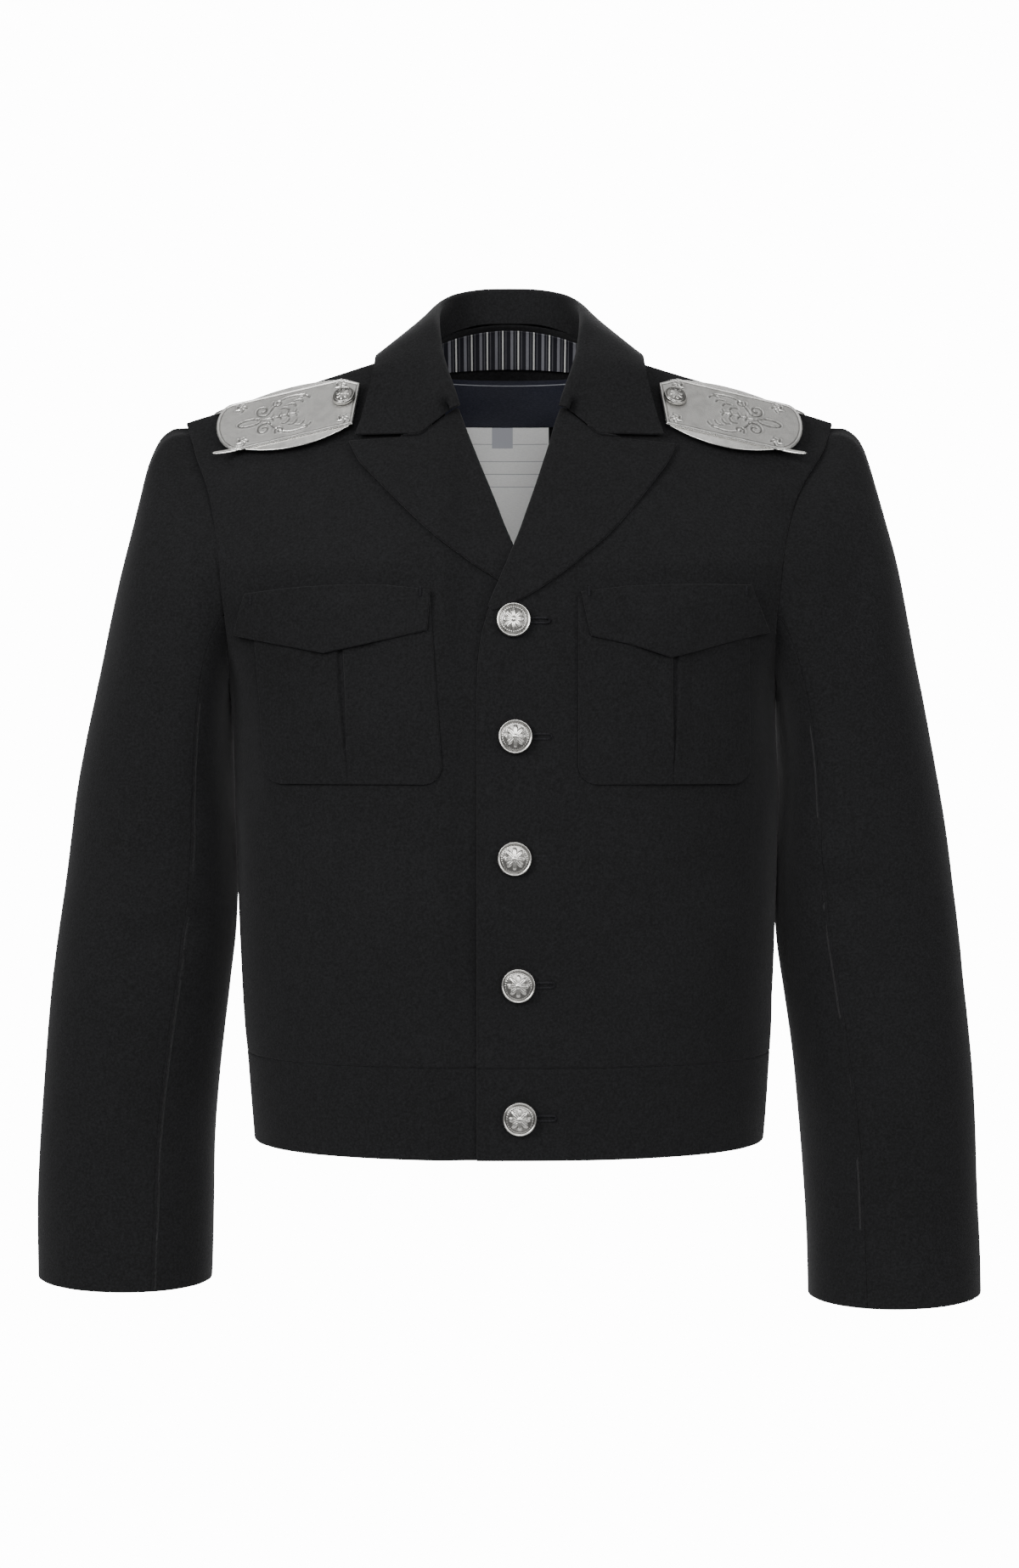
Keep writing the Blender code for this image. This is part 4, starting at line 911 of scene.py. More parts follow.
POCKET_COLUMNS = 40
PLEAT_COLUMNS = 17
PLEAT_FINE = (0.3, 0.6, 0.85, 1.1, 1.5, 2.2)  # columns beside the slit, in widths of it


def pocket_x(x, z, side):
    """A pocket's even columns brought to its own slanting edges."""
    edges = POCKET_EDGES_RIGHT if side > 0 else POCKET_EDGES_LEFT
    t = np.clip((z - POCKET_BOTTOM_Z) / (POCKET_TOP_Z - POCKET_BOTTOM_Z), 0, 1)
    inner = edges[1] + (edges[0] - edges[1]) * t
    outer = edges[3] + (edges[2] - edges[3]) * t
    return inner + (x - POCKET_INNER_X) / (POCKET_OUTER_X - POCKET_INNER_X) * (outer - inner)


def pocket_grid(side):
    """Rows from bottom to top, columns from inner to outer edge, with a slit pleat down the middle."""
    fine = PLEAT_SLIT * np.array(PLEAT_FINE)
    wide = fine[-1] + (PLEAT_REACH - fine[-1]) * np.linspace(0, 1, PLEAT_COLUMNS)[1:]
    pleat = np.concatenate([-wide[::-1], -fine[::-1], [0.0], fine, wide]) + PLEAT_X
    inner = np.linspace(POCKET_INNER_X, pleat[0], POCKET_COLUMNS)[:-1]
    outer = np.linspace(pleat[-1], POCKET_OUTER_X, POCKET_COLUMNS)[1:]
    columns = np.concatenate([inner, pleat, outer])
    middle = (POCKET_INNER_X + POCKET_OUTER_X) / 2
    half = (POCKET_OUTER_X - POCKET_INNER_X) / 2
    low = POCKET_BOTTOM_Z + POCKET_CORNER
    rises = POCKET_CORNER * (1 - np.cos(np.linspace(0, math.pi / 2, 14)))
    heights = np.concatenate([POCKET_BOTTOM_Z + rises, np.linspace(low, POCKET_TOP_Z, 70)[1:]])
    rows = []
    for z in heights:
        rise = min(z - POCKET_BOTTOM_Z, POCKET_CORNER)
        cut = POCKET_CORNER - math.sqrt(max(POCKET_CORNER**2 - (POCKET_CORNER - rise) ** 2, 0.0))
        narrow = (half - cut) / half
        reach = np.abs(columns - middle) / half
        x = pocket_x(middle + (columns - middle) * (1 + (narrow - 1) * reach**3), z, side)
        rise_share = ease((z - POCKET_BOTTOM_Z) / POCKET_FLAT_LOW)
        rise_share = rise_share * ease((POCKET_TOP_Z - z) / POCKET_FLAT_HIGH)
        away = np.abs(columns - PLEAT_X)
        swell = 1 - ease((away - PLEAT_SLIT) / (PLEAT_REACH - PLEAT_SLIT))
        opening = PLEAT_SLIT * (0.25 + 0.75 * ease((z - PLEAT_CLOSES_Z) / PLEAT_OPENS))
        slit = 1 - ease((away - 0.45 * opening) / (0.75 * opening))
        depth = PLEAT_RISE + PLEAT_DEEPER * ease((z - PLEAT_CLOSES_Z) / PLEAT_DEEPENS)
        across = np.clip((columns - POCKET_INNER_X) / (2 * half), 0, 1)
        puff = POCKET_PUFF * np.sin(math.pi * across) * rise_share
        opened = depth * slit * ease((z - POCKET_BOTTOM_Z) / 0.004)
        out = POCKET_OUT + puff + PLEAT_RISE * swell * rise_share - opened
        rows.append(on_front(x * side, np.full_like(x, z), np.maximum(out, PATCH_WALL + 0.0002), side))
    return np.array(rows)


def flap_grid(side):
    """Rows from the pointed lower edge to the top seam, columns from inner to outer end."""
    table = np.asarray(FLAP_RIGHT if side > 0 else FLAP_LEFT)
    fractions = np.linspace(0, 1, FLAP_COLUMNS)
    shares = fractions * (len(table) - 1)
    top_x, top, bottom_x, bottom = (np.interp(shares, range(len(table)), column) for column in table.T)
    rows = []
    for t in np.linspace(0, 1, FLAP_ROWS):
        x = bottom_x + (top_x - bottom_x) * t
        z = bottom + (top - bottom) * t
        bulge = FLAP_BULGE * (1 - ease((np.abs(x - PLEAT_X) - FLAP_BULGE_HALF) / FLAP_BULGE_FADE))
        lift = FLAP_LIFT * (1 - t) ** 2 * np.sin(math.pi * fractions) ** 0.5
        out = FLAP_OUT + bulge * (1 - ease((t - 0.6) / 0.4)) + lift
        rows.append(on_front(x * side, z, out, side))
    return np.array(rows)


def facing_low(x):
    """Height of the facing's lower edge."""
    top = back_top(np.array(0.0))
    return top - FACING_TOP_GAP - FACING_HEIGHT - FACING_SAG * (top - back_top(x))


def facing_grid():
    """The striped facing inside the back of the neck, under the collar's seam."""
    x = FACING_HALF_X * np.sin(np.linspace(-math.pi / 2, math.pi / 2, FACING_COLUMNS))
    top = back_top(x) - FACING_TOP_GAP
    inwards = -(WALL + LABEL_GAP)
    low = facing_low(x)
    shares = np.linspace(0, 1, FACING_ROWS)
    return np.array([on_back(x, low + (top - low) * t, inwards) for t in shares])


def label_grid(box, row_count):
    """A label below the facing, its top under the facing's lower edge, lying in slow waves."""
    low_x, high_x, low_z, high_z = box
    x = np.linspace(low_x, high_x, LABEL_COLUMNS)
    high = np.minimum(high_z, facing_low(x) - LABEL_GAP)
    shares = np.linspace(0, 1, row_count)
    across = np.sin(np.linspace(0, 5, LABEL_COLUMNS))
    rows = []
    for t in shares:
        wave = LABEL_WAVE * math.sin(7 * t) * across
        rows.append(on_back(x, low_z + (high - low_z) * t, -(WALL + LABEL_GAP) + wave))
    return np.array(rows)


def epaulette_frame(side):
    """The plate's middle, its right-handed axes u, v and n, and -1 where v runs up the slope, else 1."""
    x = EPAULETTE_X + np.array([-BASE_REACH, 0.0, BASE_REACH])
    z = crest_z(x) - EPAULETTE_DOWN
    inner, middle, outer = on_front(x, z)
    lifted = on_front(x, z, 1.0)[1]
    slope = unit(outer - inner)
    n = unit(lifted - middle)
    n = unit(n - slope * np.dot(n, slope))
    up = unit(np.cross(n, slope))
    if up[2] < 0:
        up = -up
    u = slope * math.cos(EPAULETTE_TURN) + up * math.sin(EPAULETTE_TURN)
    down = slope * math.sin(EPAULETTE_TURN) - up * math.cos(EPAULETTE_TURN)
    mirror = np.array([side, 1, 1])
    origin = (middle + n * EPAULETTE_OUT) * mirror
    axes = np.array([u, down, n]) * mirror
    way = float(np.sign(np.linalg.det(axes)))
    axes[1] *= way
    return origin, axes, way


def plate_outline():
    """The plate's outline in u and v: a neck end with a point, and a rounded shoulder end."""
    points = [PLATE_NECK_POINT, (PLATE_NECK_FRONT, PLATE_HALF_WIDTH)]
    for t in np.linspace(0, 1, 11):
        end = PLATE_END_FRONT + (PLATE_END_BACK - PLATE_END_FRONT) * t
        bulge = PLATE_END_BULGE * math.sin(math.pi * t)
        points.append((end + bulge, PLATE_HALF_WIDTH * math.cos(math.pi * t)))
    points.append((PLATE_NECK_BACK, -PLATE_HALF_WIDTH))
    return np.array(points)


# ---- Cloth shells ----

EDGE_LINES = (0.10, 0.25, 0.45, 0.70)  # extra lines inside an edge, as shares of the first step
EDGE_RADIUS = 0.0013
POCKET_EDGE_RADIUS = 0.0009
FLAP_EDGE_RADIUS = 0.0010
LABEL_EDGE_RADIUS = 0.0005
ALL_EDGES = ("bottom", "top", "start", "end")
SEAMED_SIDES = ("bottom", "top", "seamed_start", "seamed_end")
SEAMED_EDGE = 0.40  # share of the radius on an edge whose seam is pressed flat


def finer_edges(grid):
    """The grid with extra lines just inside its four edges."""
    for axis in (0, 1):
        lines = np.moveaxis(grid, axis, 0)
        near = [lines[0] + (lines[1] - lines[0]) * t for t in EDGE_LINES]
        far = [lines[-1] + (lines[-2] - lines[-1]) * t for t in EDGE_LINES[::-1]]
        lines = np.concatenate([lines[:1], near, lines[1:-1], far, lines[-1:]])
        grid = np.moveaxis(lines, 0, axis)
    return grid


def normals_of(grid, flip):
    """Unit normals of a grid's face, outwards from the cloth."""
    along = np.gradient(grid, axis=1)
    up = np.gradient(grid, axis=0)
    normal = np.cross(along, up)
    length = np.linalg.norm(normal, axis=-1, keepdims=True)
    normal = normal / np.maximum(length, 1e-12)
    return -normal if flip else normal


def edge_distance(grid, axis, last):
    lines = np.moveaxis(grid, axis, 0)
    lines = lines[::-1] if last else lines
    steps = np.linalg.norm(np.diff(lines, axis=0), axis=-1)
    reach = np.concatenate([np.zeros((1,) + steps.shape[1:]), np.cumsum(steps, axis=0)])
    reach = reach[::-1] if last else reach
    return np.moveaxis(reach, 0, axis)


def turned_edges(grid, edges, radius):
    """How far the face drops towards each turned edge, as on cloth folded over at a seam."""
    places = {"bottom": (0, False), "top": (0, True), "start": (1, False), "end": (1, True)}
    drop = np.zeros(grid.shape[:2])
    for edge in edges:
        share = SEAMED_EDGE if edge.startswith("seamed_") else 1.0
        size = radius * share
        distance = np.minimum(edge_distance(grid, *places[edge.removeprefix("seamed_")]), size)
        drop = np.maximum(drop, size - np.sqrt(size**2 - (size - distance) ** 2))
    return drop


def crease_field(x, z, rows):
    """Height of the listed creases at each point.

    A row is start x, z, end x, z, sideways bend, half width and height. A raised one has a shallow trough
    on one side, and a trough has a soft ridge there.
    """
    field = np.zeros(np.shape(x))
    steps = np.linspace(0, 1, 14)
    for start_x, start_z, end_x, end_z, bend, width, height in rows:
        start = np.array([start_x, start_z])
        run = np.array([end_x, end_z]) - start
        side = np.array([-run[1], run[0]]) / np.linalg.norm(run)
        path = start + run * steps[:, None] + side * (bend * np.sin(math.pi * steps))[:, None]
        nearest = np.full(np.shape(x), 1e9)
        signed = np.zeros(np.shape(x))
        place = np.zeros(np.shape(x))
        for k in range(len(path) - 1):
            step = path[k + 1] - path[k]
            length = np.linalg.norm(step)
            along = ((x - path[k, 0]) * step[0] + (z - path[k, 1]) * step[1]) / length**2
            along = np.clip(along, 0, 1)
            away_x = x - path[k, 0] - step[0] * along
            away_z = z - path[k, 1] - step[1] * along
            distance = np.hypot(away_x, away_z)
            closer = distance < nearest
            nearest = np.where(closer, distance, nearest)
            signed = np.where(closer, distance * np.sign(step[0] * away_z - step[1] * away_x), signed)
            place = np.where(closer, steps[k] + along / (len(path) - 1), place)
        wide = width * (0.6 + 0.5 * np.sin(math.pi * place))
        ends = ease(place / 0.35) * ease((1 - place) / 0.35)
        beside = hump(signed, 1.7 * wide, 1.1 * wide)
        field += height * ends * (hump(nearest, 0.0, wide) - 0.45 * beside)
    return field


def unevenness(grid, seed, height, size):
    """Soft low waves that keep a panel from looking machined."""
    random = np.random.default_rng(seed)
    field = np.zeros(grid.shape[:2])
    for _ in range(WAVE_COUNT):
        direction = random.normal(size=3)
        direction /= np.linalg.norm(direction)
        phase = random.uniform(0, 2 * math.pi)
        wave = size * random.uniform(0.6, 1.6)
        field += np.sin(grid @ direction * (2 * math.pi / wave) + phase)
    return field * height / WAVE_COUNT**0.5


def grid_faces(rows, columns):
    """A grid's quads and its rim, anticlockwise, as numbers of its points."""
    index = np.arange(rows * columns).reshape(rows, columns)
    quads = np.stack([index[:-1, :-1], index[:-1, 1:], index[1:, 1:], index[1:, :-1]], -1).reshape(-1, 4)
    rim = np.concatenate([index[0, :-1], index[:-1, -1], index[-1, :0:-1], index[:0:-1, 0]])
    return quads, rim


def new_mesh(name, points, faces):
    mesh = bpy.data.meshes.new(name)
    mesh.from_pydata(np.asarray(points).tolist(), [], faces)
    mesh.shade_smooth()
    return mesh


def shell(name, grid, wall, material, flip=False, edges=(), field=None, radius=EDGE_RADIUS):
    """A closed wall of cloth on a grid: its face has turned edges, and creases move both its sides."""
    grid = finer_edges(leaned(grid))
    normal = normals_of(grid, flip)
    if field is not None:
        grid = grid + normal * field(grid)[..., None]
        normal = normals_of(grid, flip)
    face = grid - normal * turned_edges(grid, edges, radius)[..., None]
    back = grid - normal * wall
    quads, rim = grid_faces(*grid.shape[:2])
    count = face.size // 3
    after = np.roll(rim, -1)
    walls = np.stack([after, rim, rim + count, after + count], -1)
    if flip:
        quads, walls = quads[:, ::-1], walls[:, ::-1]
    faces = np.concatenate([quads, quads[:, ::-1] + count, walls])
    mesh = new_mesh(name, np.concatenate([face.reshape(-1, 3), back.reshape(-1, 3)]), faces.tolist())
    mesh.validate()
    return add_piece(name, mesh, material)


def add_piece(name, mesh, material):
    mesh.materials.append(material)
    piece = bpy.data.objects.new(name, mesh)
    bpy.context.scene.collection.objects.link(piece)
    return piece


# ---- Materials ----

def new_material(name, colour, roughness, **sockets):
    material = bpy.data.materials.new(name)
    material.use_nodes = True
    shader = material.node_tree.nodes["Principled BSDF"]
    shader.inputs["Base Color"].default_value = (*colour, 1.0)
    shader.inputs["Roughness"].default_value = roughness
    for socket, value in sockets.items():
        shader.inputs[socket.replace("_", " ")].default_value = value
    return material, material.node_tree, shader


def object_coordinates(tree):
    return tree.nodes.new("ShaderNodeTexCoord").outputs["Object"]


def noise(tree, scale, detail=4.0, roughness=0.6, stretch=None):
    node = tree.nodes.new("ShaderNodeTexNoise")
    node.inputs["Scale"].default_value = scale
    node.inputs["Detail"].default_value = detail
    node.inputs["Roughness"].default_value = roughness
    coordinates = object_coordinates(tree)
    if stretch:
        mapping = tree.nodes.new("ShaderNodeMapping")
        mapping.inputs["Scale"].default_value = stretch
        tree.links.new(coordinates, mapping.inputs["Vector"])
        coordinates = mapping.outputs["Vector"]
    tree.links.new(coordinates, node.inputs["Vector"])
    return node.outputs["Fac"]


def ramp(tree, value, stops, constant=False):
    node = tree.nodes.new("ShaderNodeValToRGB")
    node.color_ramp.interpolation = "CONSTANT" if constant else "LINEAR"
    while len(node.color_ramp.elements) < len(stops):
        node.color_ramp.elements.new(0.5)
    for element, (place, colour) in zip(node.color_ramp.elements, stops):
        element.position = place
        element.color = (*colour, 1.0)
    tree.links.new(value, node.inputs["Fac"])
    return node.outputs["Color"]


def calculate(tree, operation, *values):
    node = tree.nodes.new("ShaderNodeMath")
    node.operation = operation
    for socket, value in zip(node.inputs, values):
        if hasattr(value, "default_value"):
            tree.links.new(value, socket)
        else:
            socket.default_value = value
    return node.outputs["Value"]


def add(tree, one, other):
    return calculate(tree, "ADD", one, other)


def times(tree, one, other):
    return calculate(tree, "MULTIPLY", one, other)


def mixed(tree, factor, one, other, blend="MIX"):
    """A colour mixed from two, each an output or a plain colour."""
    node = tree.nodes.new("ShaderNodeMixRGB")
    node.blend_type = blend
    for socket, value in zip(node.inputs, (factor, one, other)):
        if hasattr(value, "default_value"):
            tree.links.new(value, socket)
        else:
            socket.default_value = value
    return node.outputs["Color"]


def bump(tree, shader, height, strength, distance, onto=None):
    node = tree.nodes.new("ShaderNodeBump")
    node.inputs["Strength"].default_value = strength
    node.inputs["Distance"].default_value = distance
    tree.links.new(height, node.inputs["Height"])
    if onto is not None:
        tree.links.new(onto, node.inputs["Normal"])
    tree.links.new(node.outputs["Normal"], shader.inputs["Normal"])
    return node.outputs["Normal"]


def wool_material(name, low, high, roughness):
    """Milled wool: felted fibres over a faint weave, a slightly uneven black, and a soft sheen."""
    material, tree, shader = new_material(name, low, roughness, Specular_IOR_Level=0.22)
    shader.inputs["Sheen Weight"].default_value = 0.09
    shader.inputs["Sheen Roughness"].default_value = 0.45
    shader.inputs["Sheen Tint"].default_value = (0.80, 0.80, 0.82, 1.0)
    fibres = noise(tree, 620.0, 6.0, 0.72)
    mottle = noise(tree, 95.0, 3.0)
    broad = noise(tree, 9.0, 2.0)
    shade = add(tree, times(tree, fibres, 0.78), times(tree, mottle, 0.14))
    shade = add(tree, shade, times(tree, broad, 0.08))
    tree.links.new(ramp(tree, shade, ((0.40, low), (0.62, high))), shader.inputs["Base Color"])
    tree.links.new(add(tree, times(tree, mottle, 0.14), roughness - 0.07), shader.inputs["Roughness"])
    weave = noise(tree, 1300.0, 3.0, 0.6, (1.0, 1.0, 0.35))
    felt = bump(tree, shader, weave, 0.35, 0.0003)
    bump(tree, shader, fibres, 0.5, 0.0006, felt)
    return material


def striped_material():
    """Striped lining: each repeat has a grey band, a white line and two thin dark-grey lines on black."""
    material, tree, shader = new_material("striped_lining", (0.01, 0.01, 0.014), 0.6, Specular_IOR_Level=0.35)
    across = tree.nodes.new("ShaderNodeSeparateXYZ")
    tree.links.new(object_coordinates(tree), across.inputs["Vector"])
    place = calculate(tree, "FRACT", calculate(tree, "DIVIDE", across.outputs["X"], STRIPE_REPEAT))
    black, dark = (0.006, 0.006, 0.011), (0.09, 0.09, 0.10)
    grey, white = (0.17, 0.17, 0.19), (0.66, 0.66, 0.64)
    stripes = ramp(tree, place, (
        (0.0, black), (0.06, grey), (0.24, black), (0.35, dark), (0.40, black),
        (0.52, white), (0.61, black), (0.75, dark), (0.80, black),
    ), constant=True)
    threads = noise(tree, 900.0, 3.0, 0.6, (3.0, 1.0, 0.4))
    shade = ramp(tree, threads, ((0.3, (0.55, 0.55, 0.55)), (0.7, (1.0, 1.0, 1.0))))
    tree.links.new(mixed(tree, 0.5, stripes, shade, "MULTIPLY"), shader.inputs["Base Color"])
    bump(tree, shader, threads, 0.4, 0.0003)
    return material


def label_material(name, low, high, lines=None):
    """Woven label: fine cross threads, and on the white one a few ruled grey lines and a grey tab."""
    material, tree, shader = new_material(name, low, 0.62, Specular_IOR_Level=0.3)
    threads = noise(tree, 1500.0, 2.0, 0.5, (0.35, 1.0, 1.6))
    colour = ramp(tree, threads, ((0.32, low), (0.68, high)))
    if lines:
        axes = tree.nodes.new("ShaderNodeSeparateXYZ")
        tree.links.new(object_coordinates(tree), axes.inputs["Vector"])
        x, z = axes.outputs["X"], axes.outputs["Z"]
        for low_x, high_x, low_z, high_z, tint in lines:
            inside = calculate(tree, "GREATER_THAN", x, low_x)
            inside = times(tree, inside, calculate(tree, "LESS_THAN", x, high_x))
            inside = times(tree, inside, calculate(tree, "GREATER_THAN", z, low_z))
            inside = times(tree, inside, calculate(tree, "LESS_THAN", z, high_z))
            colour = mixed(tree, inside, colour, (*tint, 1.0))
    tree.links.new(colour, shader.inputs["Base Color"])
    bump(tree, shader, threads, 0.35, 0.0002)
    return material


def thread_material():
    material, tree, shader = new_material("black_thread", (0.008, 0.008, 0.009), 0.75, Specular_IOR_Level=0.2)
    strands = noise(tree, 1800.0, 2.0, 0.5, (1.0, 1.0, 0.4))
    shade = ramp(tree, strands, ((0.3, (0.002, 0.002, 0.003)), (0.7, (0.014, 0.014, 0.016))))
    tree.links.new(shade, shader.inputs["Base Color"])
    bump(tree, shader, strands, 0.5, 0.0003)
    return material


def mesh_attribute(tree, name):
    node = tree.nodes.new("ShaderNodeAttribute")
    node.attribute_name = name
    return node.outputs["Fac"]


def silver_material(name, bright, dark, roughness):
    """Antiqued silver: patina where the mesh's "recess" attribute is high, pebbled where "field" is high."""
    material, tree, shader = new_material(name, bright, roughness, Metallic=1.0)
    recess, field = mesh_attribute(tree, "recess"), mesh_attribute(tree, "field")
    clouds = noise(tree, 130.0, 5.0, 0.65)
    grains = noise(tree, 1500.0, 3.0, 0.6)
    tarnish = times(tree, calculate(tree, "SUBTRACT", clouds, 0.42), 0.7)
    amount = add(tree, recess, calculate(tree, "MAXIMUM", tarnish, 0.0))
    amount = calculate(tree, "MINIMUM", amount, 1.0)
    tree.links.new(ramp(tree, amount, ((0.0, bright), (1.0, dark))), shader.inputs["Base Color"])
    rough = add(tree, times(tree, field, 0.22), roughness)
    rough = add(tree, rough, times(tree, calculate(tree, "SUBTRACT", clouds, 0.5), 0.16))
    tree.links.new(rough, shader.inputs["Roughness"])
    pebbles = times(tree, grains, add(tree, field, 0.12))
    bump(tree, shader, pebbles, 0.45, 0.0004)
    return material


def paint_attribute(mesh, name, values):
    attribute = mesh.attributes.new(name, "FLOAT", "POINT")
    attribute.data.foreach_set("value", np.asarray(values, np.float32))


# ---- The jacket's cloth pieces ----

def sew(node, grid, material, cut, held, rests_on, flip=True, edges=ALL_EDGES, **looks):
    """The cloth piece that stands in for a node."""
    slot = looks.pop("slot", "wool")
    wall = looks.pop("wall", WALL)
    piece = shell("cloth_" + node, grid, wall, material, flip, edges, **looks)
    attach(piece, "root")
    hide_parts(node)


def on_half(points, facing):
    """1 on the half of a sleeve that faces front (facing 1) or back (-1), easing to 0 over its sides."""
    return ease((0.025 - points[..., 1] * facing) / 0.05)


def front_field(side):
    rows = FRONT_CREASES_RIGHT if side > 0 else FRONT_CREASES_LEFT

    def field(grid):
        near_seams = ease((grid[..., 2] - WAIST_Z) / 0.02)
        waves = unevenness(grid, FRONT_SEED + side, *FRONT_WAVES)
        return near_seams * (crease_field(grid[..., 0], grid[..., 2], rows) + waves)

    return field


def back_field(grid):
    near_seams = ease((grid[..., 2] - WAIST_Z) / 0.02)
    calm = ease((0.020 - grid[..., 2]) / 0.04)
    creases = crease_field(grid[..., 0], grid[..., 2], BACK_CREASES)
    return near_seams * calm * (creases + unevenness(grid, BACK_SEED, *BACK_WAVES))


def sleeve_field(side):
    front_rows = SLEEVE_CREASES_RIGHT if side > 0 else SLEEVE_CREASES_LEFT

    def field(grid):
        x, z = grid[..., 0], grid[..., 2]
        front = crease_field(x, z, front_rows) * on_half(grid, 1)
        back = crease_field(x * side, z, SLEEVE_CREASES_BACK) * on_half(grid, -1)
        head = ease((SLEEVE_CALM_Z - z) / 0.04)
        return (front + back + unevenness(grid, SLEEVE_SEED + side, *SLEEVE_WAVES)) * head

    return field


def band_field(seed):
    def field(grid):
        return unevenness(grid, seed, *BAND_WAVES) * ease((WAIST_Z - grid[..., 2]) / 0.01)

    return field


def jacket_cloth(cloth, lining):
    for side, word in SIDES:
        flip = side < 0
        on_this_front = ["cloth_front_" + word]
        grid = trim(front_grid(side), HALF_SEAM, HALF_SEAM, 0.0, HALF_SEAM)
        rests_on = ["cloth_back", "cloth_waistband_" + word]
        sew("front_" + word, grid, cloth, CUT_FRONT, "stretched", rests_on, flip, field=front_field(side))
        grid = trim(band_front_grid(side), 0.0, HALF_SEAM, 0.0, HALF_SEAM)
        field = band_field(BAND_SEED + side)
        sew("waistband_" + word, grid, cloth, CUT_BAND, "hung", on_this_front, flip, field=field)
        for upper, part, cut in ((True, "upper", CUT_SLEEVE_UPPER), (False, "under", CUT_SLEEVE_UNDER)):
            node = "sleeve_" + word + "_" + part
            rests_on = ["cloth_front_" + word, "cloth_back"]
            grid, field = sleeve_grid(side, upper), sleeve_field(side)
            sew(node, grid, cloth, cut, "hung", rests_on, not flip, SEAMED_SIDES, field=field)
        edges = ("seamed_bottom", "top", "end")
        sew("lapel_" + word, lapel_grid(side), cloth, CUT_LAPEL, "folded", on_this_front, not flip, edges)
        looks = {"wall": PATCH_WALL, "radius": POCKET_EDGE_RADIUS}
        sew("pocket_" + word, pocket_grid(side), cloth, CUT_POCKET, "stretched", on_this_front, flip, **looks)
        looks = {"wall": PATCH_WALL, "radius": FLAP_EDGE_RADIUS}
        sew("flap_" + word, flap_grid(side), cloth, CUT_FLAP, "hung", on_this_front, flip, **looks)

    grid = trim(back_grid(), HALF_SEAM, HALF_SEAM, HALF_SEAM, HALF_SEAM)
    rests_on = ["cloth_front_right", "cloth_front_left"]
    sew("back", grid, cloth, CUT_BACK, "stretched", rests_on, field=back_field)
    grid = trim(band_back_grid(), 0.0, HALF_SEAM, HALF_SEAM, HALF_SEAM)
    field = band_field(BAND_BACK_SEED)
    sew("waistband_back", grid, cloth, CUT_BAND_BACK, "hung", ["cloth_back"], field=field)
    sew("collar", collar_grid(), cloth, CUT_COLLAR, "folded", ["cloth_back"], True, SEAMED_SIDES)
    looks = {"wall": LABEL_WALL, "slot": "striped_facing"}
    sew("neck_facing", facing_grid(), lining, CUT_FACING, "stretched", ["cloth_back"], True, (), **looks)


def jacket_labels(navy, white):
    for node, slot, box, rows, material, cut, rests_on in (
        ("label_dark", "dark_label", DARK_LABEL, 30, navy, CUT_DARK_LABEL, "cloth_back"),
        ("label_white", "white_label", WHITE_LABEL, 60, white, CUT_WHITE_LABEL, "cloth_label_dark"),
    ):
        looks = {"wall": LABEL_WALL, "radius": LABEL_EDGE_RADIUS, "slot": slot}
        grid = label_grid(box, rows)
        sew(node, grid, material, cut, "hung", [rests_on], True, ("bottom", "start", "end"), **looks)


# ---- Buttons ----

BUTTON_RINGS = 46
BUTTON_TURN_STEPS = 144
ROSETTE_PETALS = 8
GROOVE_RADIUS = 0.83
BEADS = 36
# radius and height of the rings under a button's rim
BUTTON_UNDER = ((1.0, 0.17), (0.985, 0.10), (0.95, 0.05), (0.80, 0.02))


def button_height(radius, turn):
    """Height and recess of a button's face as fractions of its radius: a rim, a beaded ring and a rosette."""
    dome = 0.50 - 0.20 * radius**2.2
    rim = 0.045 * hump(radius, 0.93, 0.045)
    groove = -0.030 * hump(radius, GROOVE_RADIUS, 0.030)
    beads = 0.022 * hump(radius, 0.74, 0.040) * (0.5 + 0.5 * np.cos(turn * BEADS))
    petal = np.abs(np.cos(turn * ROSETTE_PETALS / 2))
    reach = 0.18 + 0.42 * petal**0.6
    inside = 1 / (1 + np.exp((radius - reach) / 0.020))
    vein = hump(np.sin(turn * ROSETTE_PETALS / 2) * radius, 0.0, 0.035) * (radius > 0.16)
    flower = 0.050 * inside * (1 - 0.35 * vein)
    heart = 0.045 * hump(radius, 0.0, 0.12, 4)
    edge = ease((1.0 - radius) / 0.05) * 0.10 - 0.10
    height = dome + rim + groove + beads + flower + heart + edge
    recess = (1 - inside) * 0.55 * (radius < 0.80) + 0.9 * hump(radius, GROOVE_RADIUS, 0.035) - beads * 14
    return height, np.clip(recess, 0, 1)


